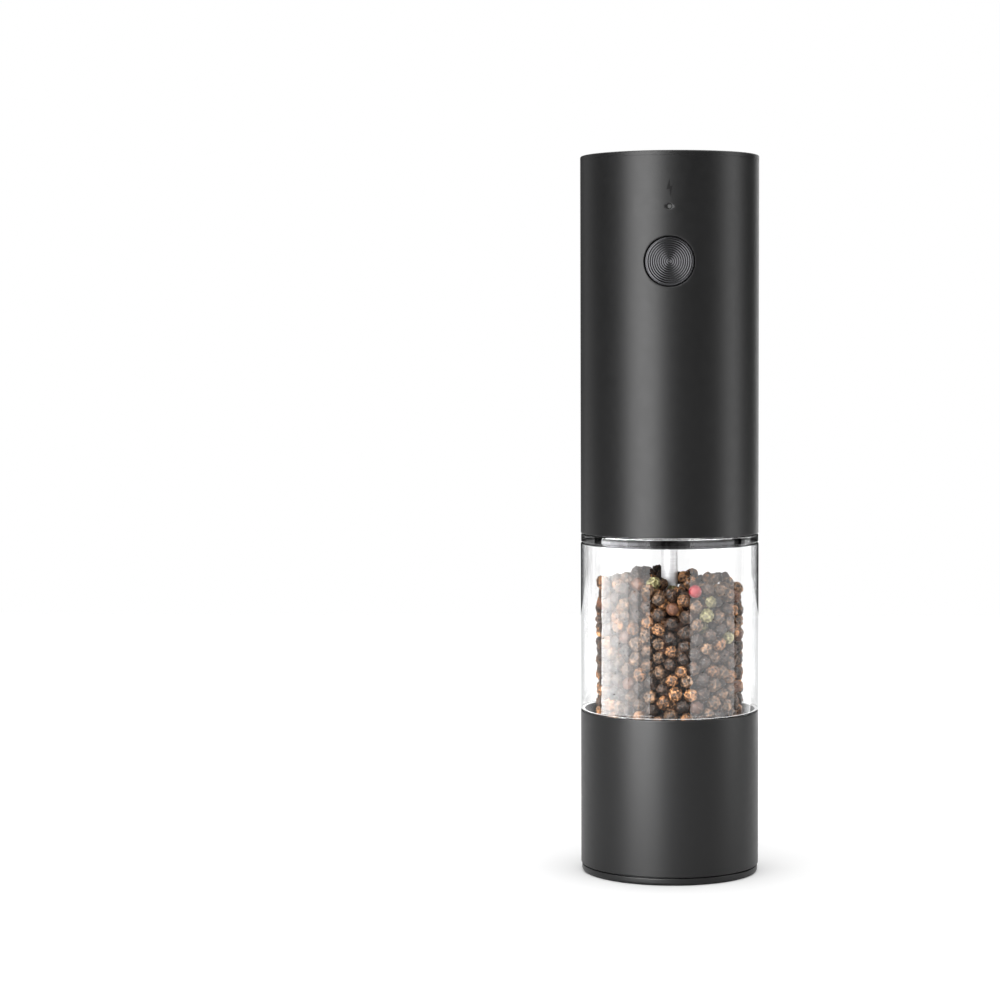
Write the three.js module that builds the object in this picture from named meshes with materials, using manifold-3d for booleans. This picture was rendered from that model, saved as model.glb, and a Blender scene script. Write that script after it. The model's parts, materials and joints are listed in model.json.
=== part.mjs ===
// Electric pepper mill: a push-button head with cell, motor and planetary gearbox stands on a
// clear jar, whose lower sleeve holds the ceramic burrs. Millimetres, +Z up, button towards -Y.
import * as THREE from 'three';
import { mergeVertices } from 'three/addons/utils/BufferGeometryUtils.js';
import Module from 'manifold-3d';

const wasm = await Module();
wasm.setup();

// ---------- clearances ----------
const seat = 0.3;            // between pieces that rest on or sit in each other
const runningFit = 0.08;     // radial, between a shaft and its bush
const slip = 0.35;           // radial, round the button and the light pipe
const close = 0.1;           // between pieces that hardly move on each other
const overrun = 1;           // how far a cutter runs past what it cuts
const bond = 0.5;            // how far joined shapes of one piece sink into each other

// ---------- outside ----------
const bodyDiameter = 52;
const sleeveWall = 0.8;
const sleeveEdge = 0.5;      // rolled edge of the sleeves
const baseHeight = 2.0;      // part of the base cap that shows
const baseInset = 0.25;
const baseEdgeRadius = 1.4;
const capSpigotHeight = 5;
const topSpigotDepth = 2.4;
const lowerSleeveHeight = 45.2;
const windowHeight = 48.8;   // clear barrel between the sleeves
const rimGroove = 0.4;
const rimHeight = 2.2;       // clear rim under the head
const headSleeveHeight = 108;
const topCapHeight = 1.3;
const topEdgeRadius = 1.1;

// ---------- jar ----------
const jarWall = 4.0;
const neckHeight = 4.9;
const neckInset = 2.4;       // neck outside, in from the body's outside
const spigotHeight = 6.7;    // end of the jar inside the lower sleeve
const rimInset = 0.1;
const grooveDepth = 0.7;
const fillHeadroom = 10.5;   // from the top of the barrel down to the peppercorns
const fillShoulder = 2;      // drop of the fill's top at the wall
const fillDip = 3;           // and at the shaft

// ---------- grinder ----------
const linerWall = 1.5;
const burrOuterRadius = 14;
const burrHeight = 10.5;
const burrToeRadius = 9.4;   // inner burr, over its teeth, at its wide lower end
const burrNoseRadius = 6.6;
const burrGap = 0.5;
const burrToothDepth = 1.1;
const innerTeeth = 14;
const outerTeeth = 20;
const shaftRadius = 2.4;
const hexAcrossFlats = 4.0;
const hexHeight = 7.2;
const clampThickness = 2.5;
const bushWall = 1.42;
const hubWall = 1;           // of the spider, round the bush
const hubDrop = 2;           // of the spider, below its arms
const clipWall = 1.1;
const clipThickness = 0.8;
const wheelHubWall = 1.7;
const burrSeatWall = 2.5;
const washerWall = 2.2;
const washerThickness = 0.6;
const wheelWall = 2.7;
const wheelHeight = 6.8;
const wheelGrips = 12;
const burrTravel = 0.8;      // lift of the burr between coarse and fine
const spiderHeight = 3.5;
const spiderArm = 3;
const spiderRim = 1.5;
const throatWall = 2.4;      // housing wall round the throat and under the funnel
const pocketWall = 1.7;      // and round the outer burr

// ---------- screws ----------
const screwRadius = 1.2;
const screwHeadRadius = 2.2;
const screwHeadHeight = 1.5;
const screwLength = 6;

// ---------- head ----------
const chassisWall = 1.9;
const chassisFloor = 2.5;
const collarHeight = 9;
const collarSkirt = 5.6;
const buttonRadius = 6.85;
const buttonHeight = 78.35;  // button centre above the head's lower edge
const buttonFlange = 1.15;   // flange, out from the button's side
const buttonFace = 0.3;      // flat face, in from the front of the sleeve
const buttonTravel = 1.0;
const ledHeight = 93.8;
const ledHoleRadius = 0.7;
const socketWidth = 9;
const socketThick = 3.2;
const socketDepth = 7.2;
const boardThick = 1.2;
const boardWidth = 18;
const socketWall = 0.35;
const lampSize = 1.2;
const switchSize = 6;

// ---------- gearbox and motor ----------
const gearModule = 0.5;
const sunTeeth = 12;
const planetTeeth = 15;
const ringTeeth = sunTeeth + 2 * planetTeeth;
const planets = 3;
const pressureAngle = 25 * Math.PI / 180;
const backlash = 0.05;       // each flank, in from the true tooth
const addendum = 0.8 * gearModule;
const dedendum = 1.2 * gearModule;
const gearHeight = 4.2;
const carrierPlate = 2;
const pinRadius = 1.0;
const gearRingWall = 2.1;
const spindleRadius = 3.5;
const spindleBushWall = 1.02;
const hexPlay = 0.3;
const motorRadius = 12.2;
const motorLength = 30.8;
const motorShaftRadius = 1.0;
const canWall = 0.9;
const commutatorRadius = 2.1;
const cellRadius = 8.25;
const cellLength = 34.5;
const contactThickness = 0.5;

// ---------- worked out ----------
const bodyRadius = bodyDiameter / 2;
const sleeveInside = bodyRadius - sleeveWall;
const linerRadius = sleeveInside - seat;
const jarInside = bodyRadius - jarWall;
const neckRadius = bodyRadius - neckInset;
const lowerSleeveBottom = baseHeight + seat;
const lowerSleeveTop = lowerSleeveBottom + lowerSleeveHeight;
const jarShoulder = lowerSleeveTop + seat;
const jarBottom = jarShoulder - spigotHeight;
const barrelTop = jarShoulder + windowHeight;
const rimTop = barrelTop + rimGroove + rimHeight;
const neckTop = rimTop + neckHeight;
const headBottom = rimTop + seat;
const headSleeveTop = headBottom + headSleeveHeight;
const topOfMill = headSleeveTop + seat + topCapHeight;
const collarTop = headBottom + seat + collarHeight;
const chassisBottom = collarTop + seat;
const chassisInside = linerRadius - chassisWall;
const capSpigotTop = baseHeight + capSpigotHeight;
const housingTop = jarBottom - seat;
const wheelBottom = baseHeight + 2.6;
const clampBottom = wheelBottom + wheelHeight + seat;
const burrBottom = clampBottom + clampThickness + seat;
const burrTop = burrBottom + burrHeight;
const clampBore = burrToeRadius + 2;
const wheelRadius = clampBore - seat + 1.9;
const wheelInside = wheelRadius - wheelWall;
const clampRadius = linerRadius - linerWall - 1.2;
const clampScrewCircle = (burrOuterRadius + clampRadius) / 2;
const gearboxBottom = chassisBottom + chassisFloor + seat;
const centreDistance = gearModule * (sunTeeth + planetTeeth) / 2;
const ringOutside = gearModule * ringTeeth / 2 + dedendum + gearRingWall;
const outputPlateBottom = gearboxBottom + carrierPlate + seat;
const outputGears = outputPlateBottom + carrierPlate + seat;
const middlePlateBottom = outputGears + gearHeight + 2 * seat;
const middleGears = middlePlateBottom + carrierPlate + seat;
const gearboxTop = middleGears + gearHeight + 6 * seat;
const motorPlateBottom = gearboxTop + seat;
const motorBottom = motorPlateBottom + carrierPlate + seat;
const motorTop = motorBottom + motorLength;
const trayBottom = motorTop + seat;
const cellBottom = trayBottom + 4.4;
const cellTop = cellBottom + cellLength;
const buttonZ = headBottom + buttonHeight;
const ledZ = headBottom + ledHeight;
const buttonFaceY = -(bodyRadius - buttonFace);
const flangeRadius = buttonRadius + buttonFlange;
const flangeFrontY = -(Math.sqrt(sleeveInside ** 2 - flangeRadius ** 2) - seat);
const flangeBackY = flangeFrontY + 1.4;
const plungerBackY = flangeBackY + 1.7;
const switchFrontY = plungerBackY + buttonTravel + 0.2;
const boardFrontY = switchFrontY + 2.3;

// ---------- materials ----------
const look = (color, roughness, metalness) => new THREE.MeshStandardMaterial({ color, roughness, metalness });
const looks = {
  blackMetal: () => look(0x2c2c2e, 0.42, 0.6),
  spunMetal: () => look(0x4a4a4c, 0.3, 0.9),
  clear: () => new THREE.MeshStandardMaterial({
    color: 0xeef2f4, roughness: 0.05, metalness: 0, transparent: true, opacity: 0.3,
  }),
  blackPlastic: () => look(0x1c1c1e, 0.6, 0),
  greyPlastic: () => look(0x8d8f92, 0.55, 0),
  whitePlastic: () => look(0xe8e8e4, 0.45, 0),
  ceramic: () => look(0xf1eee6, 0.5, 0),
  steel: () => look(0xb9bcc0, 0.25, 1),
  brass: () => look(0xc9a45a, 0.3, 1),
  copper: () => look(0xb36a3c, 0.35, 1),
  silicone: () => look(0xd9dcde, 0.7, 0),
  board: () => look(0x1f5a38, 0.6, 0),
  cellWrap: () => look(0x2c5fa8, 0.4, 0),
  lamp: () => look(0xf4f4ee, 0.3, 0),
  pepper: () => look(0x3a2a20, 0.8, 0),
};

// ---------- shape helpers ----------
// One closed surface: shared corners merged, empty faces dropped, faces turned outwards.
function closed(geometry) {
  geometry.deleteAttribute('normal');
  geometry.deleteAttribute('uv');
  const welded = mergeVertices(geometry, 1e-4);
  const p = welded.attributes.position;
  const index = [];
  let volume = 0;
  for (let i = 0; i < welded.index.count; i += 3) {
    const [a, b, c] = [0, 1, 2].map((k) => welded.index.getX(i + k));
    if (a === b || b === c || c === a) continue;
    index.push(a, b, c);
    volume += p.getX(a) * (p.getY(b) * p.getZ(c) - p.getZ(b) * p.getY(c))
      + p.getY(a) * (p.getZ(b) * p.getX(c) - p.getX(b) * p.getZ(c))
      + p.getZ(a) * (p.getX(b) * p.getY(c) - p.getY(b) * p.getX(c));
  }
  if (volume < 0) index.reverse();
  welded.setIndex(index);
  return welded;
}

// Points are [radius, height]; a ring's outline closes on itself, a solid's runs axis to axis.
function turned(points, sides = 36) {
  const outline = points.map(([r, z]) => new THREE.Vector2(r, z));
  if (points[0][0] > 0) outline.push(outline[0].clone());
  return closed(new THREE.LatheGeometry(outline, sides).rotateX(Math.PI / 2));
}

const ring = (outer, inner, z0, z1, sides = 24) => turned(
  [[outer, z0], [outer, z1], [inner, z1], [inner, z0]],
  sides,
);
const disc = (radius, z0, z1, sides = 24) => turned([[0, z0], [radius, z0], [radius, z1], [0, z1]], sides);

// A rounded corner between two heights: points of a quarter circle about [r, z].
const corner = (r, z, radius, from, steps = 3) => Array.from({ length: steps + 1 }, (_, i) => {
  const angle = (from + 90 * i / steps) * Math.PI / 180;
  return [r + radius * Math.cos(angle), z + radius * Math.sin(angle)];
});

function outlineShape(points) {
  return new THREE.Shape(points.map(([x, y]) => new THREE.Vector2(x, y)));
}

const regular = (count, radius, turn = 0) => Array.from({ length: count }, (_, i) => {
  const angle = turn + 2 * Math.PI * i / count;
  return [radius * Math.cos(angle), radius * Math.sin(angle)];
});

function raised(points, z0, z1, holes = [], steps = 1) {
  const shape = outlineShape(points);
  holes.forEach((hole) => shape.holes.push(new THREE.Path(outlineShape(hole).getPoints())));
  const solid = new THREE.ExtrudeGeometry(shape, { depth: z1 - z0, bevelEnabled: false, steps });
  return closed(solid.translate(0, 0, z0));
}

const block = (x0, x1, y0, y1, z0, z1) => closed(new THREE.BoxGeometry(x1 - x0, y1 - y0, z1 - z0)
  .translate((x0 + x1) / 2, (y0 + y1) / 2, (z0 + z1) / 2));

// A round bar along Y, from y0 to y1.
const barAlongY = (radius, y0, y1, z, sides = 24) => closed(
  new THREE.CylinderGeometry(radius, radius, y1 - y0, sides).translate(0, (y0 + y1) / 2, z),
);

// ---------- joining and cutting ----------
function toSolid(geometry) {
  const mesh = new wasm.Mesh({
    numProp: 3,
    vertProperties: new Float32Array(geometry.attributes.position.array),
    triVerts: new Uint32Array(geometry.index.array),
  });
  return new wasm.Manifold(mesh);
}

function fromSolid(solid) {
  const mesh = solid.getMesh();
  const geometry = new THREE.BufferGeometry();
  geometry.setAttribute('position', new THREE.BufferAttribute(new Float32Array(mesh.vertProperties), 3));
  geometry.setIndex(new THREE.BufferAttribute(new Uint32Array(mesh.triVerts), 1));
  return geometry;
}

const joined = (...pieces) => fromSolid(pieces.map(toSolid).reduce((a, b) => a.add(b)));
const cut = (piece, ...tools) => fromSolid(
  tools.map(toSolid).reduce((a, b) => a.subtract(b), toSolid(piece)),
);
const around = (count, make, first = 0) => Array.from(
  { length: count },
  (_, i) => make(first + 2 * Math.PI * i / count),
);

// ---------- gears ----------
// Involute teeth with one tooth centred on +X, or turned from it. Grow is the flank's move outwards from the true
// tooth, so a gear takes -backlash and the space of a ring gear takes +backlash.
function toothed(teeth, tip, root, grow, turn = 0) {
  const pitch = gearModule * teeth / 2;
  const base = pitch * Math.cos(pressureAngle);
  const involute = (r) => {
    const angle = Math.acos(Math.min(1, base / r));
    return Math.tan(angle) - angle;
  };
  const halfAngle = (r) => Math.PI / (2 * teeth) + grow / pitch
    + involute(pitch) - involute(Math.max(r, base));
  const radii = root < base ? [root, base, tip] : [root, (root + tip) / 2, tip];
  const points = [];
  for (let tooth = 0; tooth < teeth; tooth += 1) {
    const centre = turn + 2 * Math.PI * tooth / teeth;
    const flank = (r, side) => {
      const angle = centre + side * halfAngle(r);
      return [r * Math.cos(angle), r * Math.sin(angle)];
    };
    radii.forEach((r) => points.push(flank(r, -1)));
    radii.slice().reverse().forEach((r) => points.push(flank(r, 1)));
  }
  return points;
}

const gearOutline = (teeth, turn = 0) => {
  const pitch = gearModule * teeth / 2;
  return toothed(teeth, pitch + addendum, pitch - dedendum, -backlash, turn);
};

// An even planet shows the sun a tooth where an odd one shows it a space.
const sunTurn = planetTeeth % 2 === 0 ? Math.PI / sunTeeth : 0;

function ringSpace() {
  const pitch = gearModule * ringTeeth / 2;
  return toothed(ringTeeth, pitch + dedendum, pitch - addendum, backlash);
}

// ---------- burrs ----------
// Saw-tooth cone about Z, widest at z0, with its teeth leaning round by lean radians.
function burrCone(teeth, toe, nose, depth, z0, z1, lean) {
  const points = [];
  for (let tooth = 0; tooth < teeth; tooth += 1) {
    const centre = 2 * Math.PI * tooth / teeth;
    const half = Math.PI / teeth;
    points.push([toe * Math.cos(centre), toe * Math.sin(centre)]);
    points.push([(toe - depth) * Math.cos(centre + half), (toe - depth) * Math.sin(centre + half)]);
  }
  const cone = raised(points, z0, z1, [], 2);
  const p = cone.attributes.position;
  for (let i = 0; i < p.count; i += 1) {
    const share = (p.getZ(i) - z0) / (z1 - z0);
    const radius = Math.hypot(p.getX(i), p.getY(i)) - share * (toe - nose);
    const angle = Math.atan2(p.getY(i), p.getX(i)) + share * lean;
    p.setXY(i, radius * Math.cos(angle), radius * Math.sin(angle));
  }
  return cone;
}

// ---------- scene graph ----------
const group = new THREE.Group();
const lowerUnit = new THREE.Group();
const driveLine = new THREE.Group();
const headUnit = new THREE.Group();
const gearbox = new THREE.Group();
group.add(lowerUnit, driveLine, headUnit);
headUnit.add(gearbox);

function add(parent, name, geometry, finish, place = [0, 0, 0], turn = 0) {
  const mesh = new THREE.Mesh(geometry, looks[finish]());
  mesh.name = name;
  mesh.position.set(...place);
  mesh.rotation.z = turn;
  parent.add(mesh);
}

const polar = (radius, angle, z = 0) => [radius * Math.cos(angle), radius * Math.sin(angle), z];

// ---------- base cap ----------
function baseCap() {
  const rim = bodyRadius - baseInset;
  const edge = Math.min(baseEdgeRadius, baseHeight);
  return turned([
    [0, 0], ...corner(rim - edge, edge, edge, -90), [rim, baseHeight],
    [linerRadius, baseHeight], [linerRadius, capSpigotTop], [linerRadius - linerWall, capSpigotTop],
    [linerRadius - linerWall, baseHeight], [0, baseHeight],
  ]);
}

// ---------- sleeves ----------
function sleeve(z0, z1) {
  const rolled = bodyRadius - sleeveEdge;
  return turned([
    ...corner(rolled, z0 + sleeveEdge, sleeveEdge, -90, 2),
    ...corner(rolled, z1 - sleeveEdge, sleeveEdge, 0, 2),
    [sleeveInside, z1], [sleeveInside, z0],
  ]);
}

const socketSlot = (reach) => block(-socketWidth / 2 - slip, socketWidth / 2 + slip, 0, reach,
  ledZ - socketThick / 2 - slip, ledZ + socketThick / 2 + slip);

function headSleeve() {
  const reach = bodyRadius + overrun;
  return cut(
    sleeve(headBottom, headSleeveTop),
    barAlongY(buttonRadius + slip, -reach, 0, buttonZ),
    barAlongY(ledHoleRadius, -reach, 0, ledZ, 12),
    socketSlot(reach),
  );
}

function topCap() {
  const bottom = headSleeveTop + seat;
  const edge = bodyRadius - topEdgeRadius;
  return turned([
    [0, bottom], [linerRadius - linerWall, bottom], [linerRadius - linerWall, bottom - topSpigotDepth],
    [linerRadius, bottom - topSpigotDepth], [linerRadius, bottom], [bodyRadius, bottom],
    ...corner(edge, topOfMill - topEdgeRadius, topEdgeRadius, 0), [0, topOfMill],
  ]);
}

// ---------- jar ----------
function jar() {
  const rim = bodyRadius - rimInset;
  const groove = bodyRadius - grooveDepth;
  const rimBottom = barrelTop + rimGroove;
  return turned([
    [linerRadius, jarBottom], [linerRadius, jarShoulder], [bodyRadius, jarShoulder],
    [bodyRadius, barrelTop], [groove, barrelTop], [groove, rimBottom], [rim, rimBottom],
    [rim, rimTop], [neckRadius, rimTop], [neckRadius, neckTop], [jarInside, neckTop], [jarInside, jarBottom],
  ]);
}

const fillInside = shaftRadius + 2 * seat;
add(lowerUnit, 'jar', jar(), 'clear');
add(lowerUnit, 'lower_sleeve', sleeve(lowerSleeveBottom, lowerSleeveTop), 'blackMetal');
add(lowerUnit, 'base_cap', baseCap(), 'blackMetal');
const fillTop = barrelTop - fillHeadroom;
add(lowerUnit, 'peppercorn_fill', turned([
  [jarInside - seat, jarBottom], [jarInside - seat, fillTop - fillShoulder],
  [jarInside / 2, fillTop], [fillInside, fillTop - fillDip], [fillInside, jarBottom],
], 24), 'pepper');

// ---------- grinder housing ----------
const spiderBottom = housingTop - spiderHeight;
const spiderRadius = jarInside - 2 * seat;
const bossRadius = screwRadius + seat + hubWall + bond;
const screwHoles = (circle, z0, z1) => around(3, (angle) => disc(screwRadius + seat, z0, z1, 12)
  .translate(...polar(circle, angle)));

function grinderHousing() {
  const skirtInside = linerRadius - linerWall;
  const pocket = burrOuterRadius + seat;
  const throat = burrNoseRadius + burrGap + burrToothDepth + throatWall;
  const ledge = spiderRadius - spiderRim + close;
  const throatTop = burrTop + seat + pocketWall;
  const ledgeZ = spiderBottom - seat;
  const slope = (ledgeZ - throatTop) / (ledge - throat);
  const pocketOutside = pocket + pocketWall;
  const underside = (r) => throatTop + slope * (r - throat) - throatWall;
  const shell = turned([
    [linerRadius, capSpigotTop + seat], [linerRadius, housingTop], [spiderRadius + seat, housingTop],
    [spiderRadius + seat, ledgeZ], [ledge, ledgeZ], [throat, throatTop], [throat, burrTop + seat],
    [pocket, burrTop + seat], [pocket, burrBottom],
    [pocketOutside, burrBottom], [pocketOutside, underside(pocketOutside)],
    [ledge, underside(ledge)], [skirtInside, underside(ledge)], [skirtInside, capSpigotTop + seat],
  ]);
  const bossTop = underside(clampScrewCircle) + bond;
  const room = disc(pocket, burrBottom - overrun, burrTop + seat);
  const bosses = around(3, (angle) => cut(
    disc(bossRadius, burrBottom, bossTop, 16).translate(...polar(clampScrewCircle, angle)),
    room,
  ));
  const holes = screwHoles(clampScrewCircle, burrBottom - overrun, burrBottom + screwLength);
  return cut(joined(shell, ...bosses), ...holes);
}

const bushRadius = shaftRadius + runningFit + bushWall;
const spiderHubBottom = spiderBottom - hubDrop;
function shaftSpider() {
  const hub = disc(bushRadius + seat + hubWall, spiderHubBottom, housingTop);
  const rim = ring(spiderRadius, spiderRadius - spiderRim, spiderBottom, housingTop);
  const arm = block(0, spiderRadius - spiderRim / 2, -spiderArm / 2, spiderArm / 2, spiderBottom, housingTop);
  const arms = around(3, (angle) => arm.clone().rotateZ(angle), Math.PI / 3);
  const bore = disc(bushRadius + seat, spiderHubBottom - overrun, housingTop + overrun);
  return cut(joined(hub, rim, ...arms), bore);
}

function burrClamp() {
  const top = clampBottom + clampThickness;
  const holes = screwHoles(clampScrewCircle, clampBottom - overrun, top + overrun);
  return cut(ring(clampRadius, clampBore, clampBottom, top), ...holes);
}

// Pan-head screw standing on its head at z = 0, its shank rising from it.
function screw(length) {
  const edge = 0.4;
  const body = turned([
    [0, 0], [screwHeadRadius - edge, 0], [screwHeadRadius, edge], [screwHeadRadius, screwHeadHeight],
    [screwRadius, screwHeadHeight], [screwRadius, screwHeadHeight + length], [0, screwHeadHeight + length],
  ], 12);
  const across = 1.3;
  const slot = 0.2;
  const deep = 0.7;
  return cut(
    body,
    block(-across, across, -slot, slot, -overrun, deep),
    block(-slot, slot, -across, across, -overrun, deep),
  );
}

add(lowerUnit, 'grinder_housing', grinderHousing(), 'blackPlastic');
add(lowerUnit, 'shaft_spider', shaftSpider(), 'whitePlastic');
const shaftBush = ring(bushRadius, shaftRadius + runningFit, spiderHubBottom, housingTop);
add(lowerUnit, 'shaft_bush', shaftBush, 'brass');
add(lowerUnit, 'burr_clamp', burrClamp(), 'greyPlastic');
around(3, (angle) => angle).forEach((angle, i) => {
  const place = polar(clampScrewCircle, angle, clampBottom - seat / 3 - screwHeadHeight);
  add(lowerUnit, `burr_screw_${i + 1}`, screw(clampThickness + screwLength - overrun), 'steel', place);
});

const burrBore = burrCone(outerTeeth, burrToeRadius + burrGap + burrToothDepth,
  burrNoseRadius + burrGap + burrToothDepth, burrToothDepth, burrBottom, burrTop, -0.25);
const boreEdge = 0.4;        // plain ring at each end of the toothed bore
const boreEnds = [
  disc(burrToeRadius + burrGap + boreEdge / 2, burrBottom - overrun, burrBottom + boreEdge),
  disc(burrNoseRadius + burrGap + boreEdge / 2, burrTop - boreEdge, burrTop + overrun),
];
const outerBurr = cut(disc(burrOuterRadius, burrBottom, burrTop), burrBore, ...boreEnds);
add(lowerUnit, 'outer_burr', outerBurr, 'ceramic');

// ---------- drive line ----------
const hexTop = neckTop + 3.6;
const hexBottom = hexTop - hexHeight;
const hexagon = (acrossFlats) => regular(6, acrossFlats / Math.sqrt(3));
const clipBottom = wheelBottom + 0.2;
const clipTop = clipBottom + clipThickness;
const hubBottom = clipTop + burrTravel + 0.5;
const hubTop = clampBottom - 2 * seat - 0.2;
const seatBottom = hubTop + seat;
const seatTop = burrBottom - 0.6;
const washerBottom = seatTop + close;
const burrDrop = 0.4;        // toe of the inner burr, above the outer burr's lower face
const shaftEnd = 0.6;        // of the shaft, below its clip

function driveShaft() {
  const round = disc(shaftRadius, clipBottom - shaftEnd, hexBottom);
  return joined(round, raised(hexagon(hexAcrossFlats), hexBottom - overrun, hexTop));
}

function innerBurr() {
  const bottom = burrBottom + burrDrop;
  const toe = burrToeRadius - burrDrop * (burrToeRadius - burrNoseRadius) / burrHeight;
  const cone = burrCone(innerTeeth, toe, burrNoseRadius, burrToothDepth, bottom, burrTop, 0.6);
  return cut(cone, disc(shaftRadius + close, bottom - overrun, burrTop + overrun));
}

function adjusterWheel() {
  const wheelTop = wheelBottom + wheelHeight;
  const hub = disc(shaftRadius + seat + wheelHubWall, hubBottom, hubTop);
  const rim = ring(wheelRadius, wheelInside, wheelBottom, wheelTop);
  const spigot = ring(clampBore - seat, wheelInside, wheelTop - overrun, clampBottom + 1.5);
  const spoke = block(0, wheelInside + bond, -1.25, 1.25, hubBottom, hubTop);
  const spokes = around(3, (angle) => spoke.clone().rotateZ(angle), Math.PI / 3);
  const grips = around(wheelGrips, (angle) => disc(0.8, wheelBottom - overrun, wheelTop - overrun, 6)
    .translate(...polar(wheelRadius + 0.2, angle)));
  const bore = disc(shaftRadius + seat, hubBottom - overrun, hubTop + overrun);
  return cut(joined(hub, rim, spigot, ...spokes), bore, ...grips);
}

// A ring that turns or slides on the drive shaft.
const onShaft = (wall, z0, z1, fit = runningFit) => ring(shaftRadius + wall, shaftRadius + fit, z0, z1);
add(driveLine, 'drive_shaft', driveShaft(), 'steel');
add(driveLine, 'inner_burr', innerBurr(), 'ceramic');
add(driveLine, 'shaft_clip', onShaft(clipWall, clipBottom, clipTop, close), 'steel');
add(driveLine, 'adjuster_wheel', adjusterWheel(), 'greyPlastic');
add(driveLine, 'burr_seat', onShaft(burrSeatWall, seatBottom, seatTop), 'blackPlastic');
add(driveLine, 'thrust_washer', onShaft(washerWall, washerBottom, washerBottom + washerThickness), 'brass');

// ---------- head shell ----------
const spindleBush = spindleRadius + runningFit + spindleBushWall;
const collarBore = spindleBush + 2 * seat;
const chassisBore = spindleBush + seat + 1.1;
function headCollar() {
  const skirt = neckRadius + seat;
  const bottom = headBottom + seat;
  const plate = bottom + collarSkirt;
  return turned([
    [linerRadius, bottom], [linerRadius, collarTop], [collarBore, collarTop], [collarBore, plate],
    [skirt, plate], [skirt, bottom],
  ]);
}

function chassis() {
  const top = headSleeveTop - topSpigotDepth - seat;
  const floorTop = chassisBottom + chassisFloor;
  const tube = turned([
    [linerRadius, chassisBottom], [linerRadius, top], [chassisInside, top],
    [chassisInside, floorTop], [chassisBore, floorTop], [chassisBore, chassisBottom],
  ]);
  const reach = bodyRadius + overrun;
  return cut(
    tube,
    barAlongY(flangeRadius + slip, -reach, 0, buttonZ),
    barAlongY(ledHoleRadius + slip, -reach, 0, ledZ, 12),
    socketSlot(reach),
    ...screwHoles(gearScrewCircle, chassisBottom - overrun, floorTop + overrun),
  );
}

const flangeOutside = chassisInside - 2 * seat;
const gearScrewCircle = (ringOutside + flangeOutside) / 2;
add(headUnit, 'head_sleeve', headSleeve(), 'blackMetal');
add(headUnit, 'top_cap', topCap(), 'blackMetal');
add(headUnit, 'head_collar', headCollar(), 'blackPlastic');
const neckSeal = ring(neckRadius, jarInside + 2 * close, neckTop + seat, headBottom + collarSkirt);
add(headUnit, 'neck_seal', neckSeal, 'silicone');
add(headUnit, 'chassis', chassis(), 'blackPlastic');

// ---------- gearbox ----------
function gearHousing() {
  const top = gearboxBottom + carrierPlate;
  const teeth = raised(regular(32, ringOutside), top - bond, gearboxTop, [ringSpace()]);
  const flange = disc(flangeOutside, gearboxBottom, top);
  const bore = disc(spindleBush + seat, gearboxBottom - overrun, top + overrun);
  const holes = screwHoles(gearScrewCircle, gearboxBottom - overrun, top + overrun);
  return joined(teeth, cut(flange, bore, ...holes));
}

const carrierEdge = 1.6;     // of a carrier's plate, round its pins
const carrierRadius = centreDistance + pinRadius + carrierEdge;
const planetPlaces = around(planets, (angle) => angle);

// Round plate with a pin for each planet, the pins standing up from it.
function carrier(plateBottom) {
  const plateTop = plateBottom + carrierPlate;
  const pinTop = plateTop + gearHeight + 2 * seat;
  const pins = planetPlaces.map((angle) => disc(pinRadius, plateTop - bond, pinTop, 12)
    .translate(...polar(centreDistance, angle)));
  return joined(disc(carrierRadius, plateBottom, plateTop), ...pins);
}

function outputCarrier() {
  const spindleBottom = neckTop - 2;
  const spindle = disc(spindleRadius, spindleBottom, outputPlateBottom + bond);
  const socketTop = hexTop + burrTravel + 0.7;
  const socket = raised(hexagon(hexAcrossFlats + hexPlay), spindleBottom - overrun, socketTop);
  return cut(joined(carrier(outputPlateBottom), spindle), socket);
}

function middleCarrier() {
  const sun = raised(gearOutline(sunTeeth, sunTurn), outputGears, middlePlateBottom + bond);
  return joined(carrier(middlePlateBottom), sun);
}

const bushBottom = chassisBottom + seat;
const bushTop = gearboxBottom + carrierPlate;
add(gearbox, 'gear_housing', gearHousing(), 'greyPlastic');
add(gearbox, 'output_bush', ring(spindleBush, spindleRadius + runningFit, bushBottom, bushTop), 'brass');
planetPlaces.forEach((angle, i) => {
  const headTop = bushTop + seat / 3 + screwHeadHeight;
  const standing = screw(chassisFloor + carrierPlate).rotateX(Math.PI);
  add(gearbox, `gearbox_screw_${i + 1}`, standing, 'steel', polar(gearScrewCircle, angle, headTop));
});
add(gearbox, 'output_carrier', outputCarrier(), 'steel');
add(gearbox, 'middle_carrier', middleCarrier(), 'steel');
const planetBore = regular(12, pinRadius + close);
[['output', outputGears], ['middle', middleGears]].forEach(([stage, bottom]) => {
  planetPlaces.forEach((angle, i) => {
    const gear = raised(gearOutline(planetTeeth), 0, gearHeight, [planetBore]);
    const place = polar(centreDistance, angle, bottom);
    add(gearbox, `${stage}_planet_${i + 1}`, gear, 'whitePlastic', place, angle);
  });
});

// ---------- motor ----------
const magnetDepth = 2.7;     // of a magnet, in from the can's bore
const airGap = 0.6;
const endCapHeight = 3;      // of the end cap above the can
const coreInset = 5;         // from the can's lower face up to the rotor core
const coreRoom = 8;          // from the rotor core up to the motor's top
const canInside = motorRadius - canWall;
const canTop = motorTop - endCapHeight;
const rotorRadius = canInside - close - magnetDepth - airGap;
const motorPinionTop = middleGears + gearHeight + 2 * seat;
function motorCan() {
  const bore = motorShaftRadius + airGap;
  return turned([
    [motorRadius, motorBottom], [motorRadius, canTop], [canInside, canTop],
    [canInside, motorBottom + canWall], [bore, motorBottom + canWall], [bore, motorBottom],
  ], 24);
}

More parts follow.
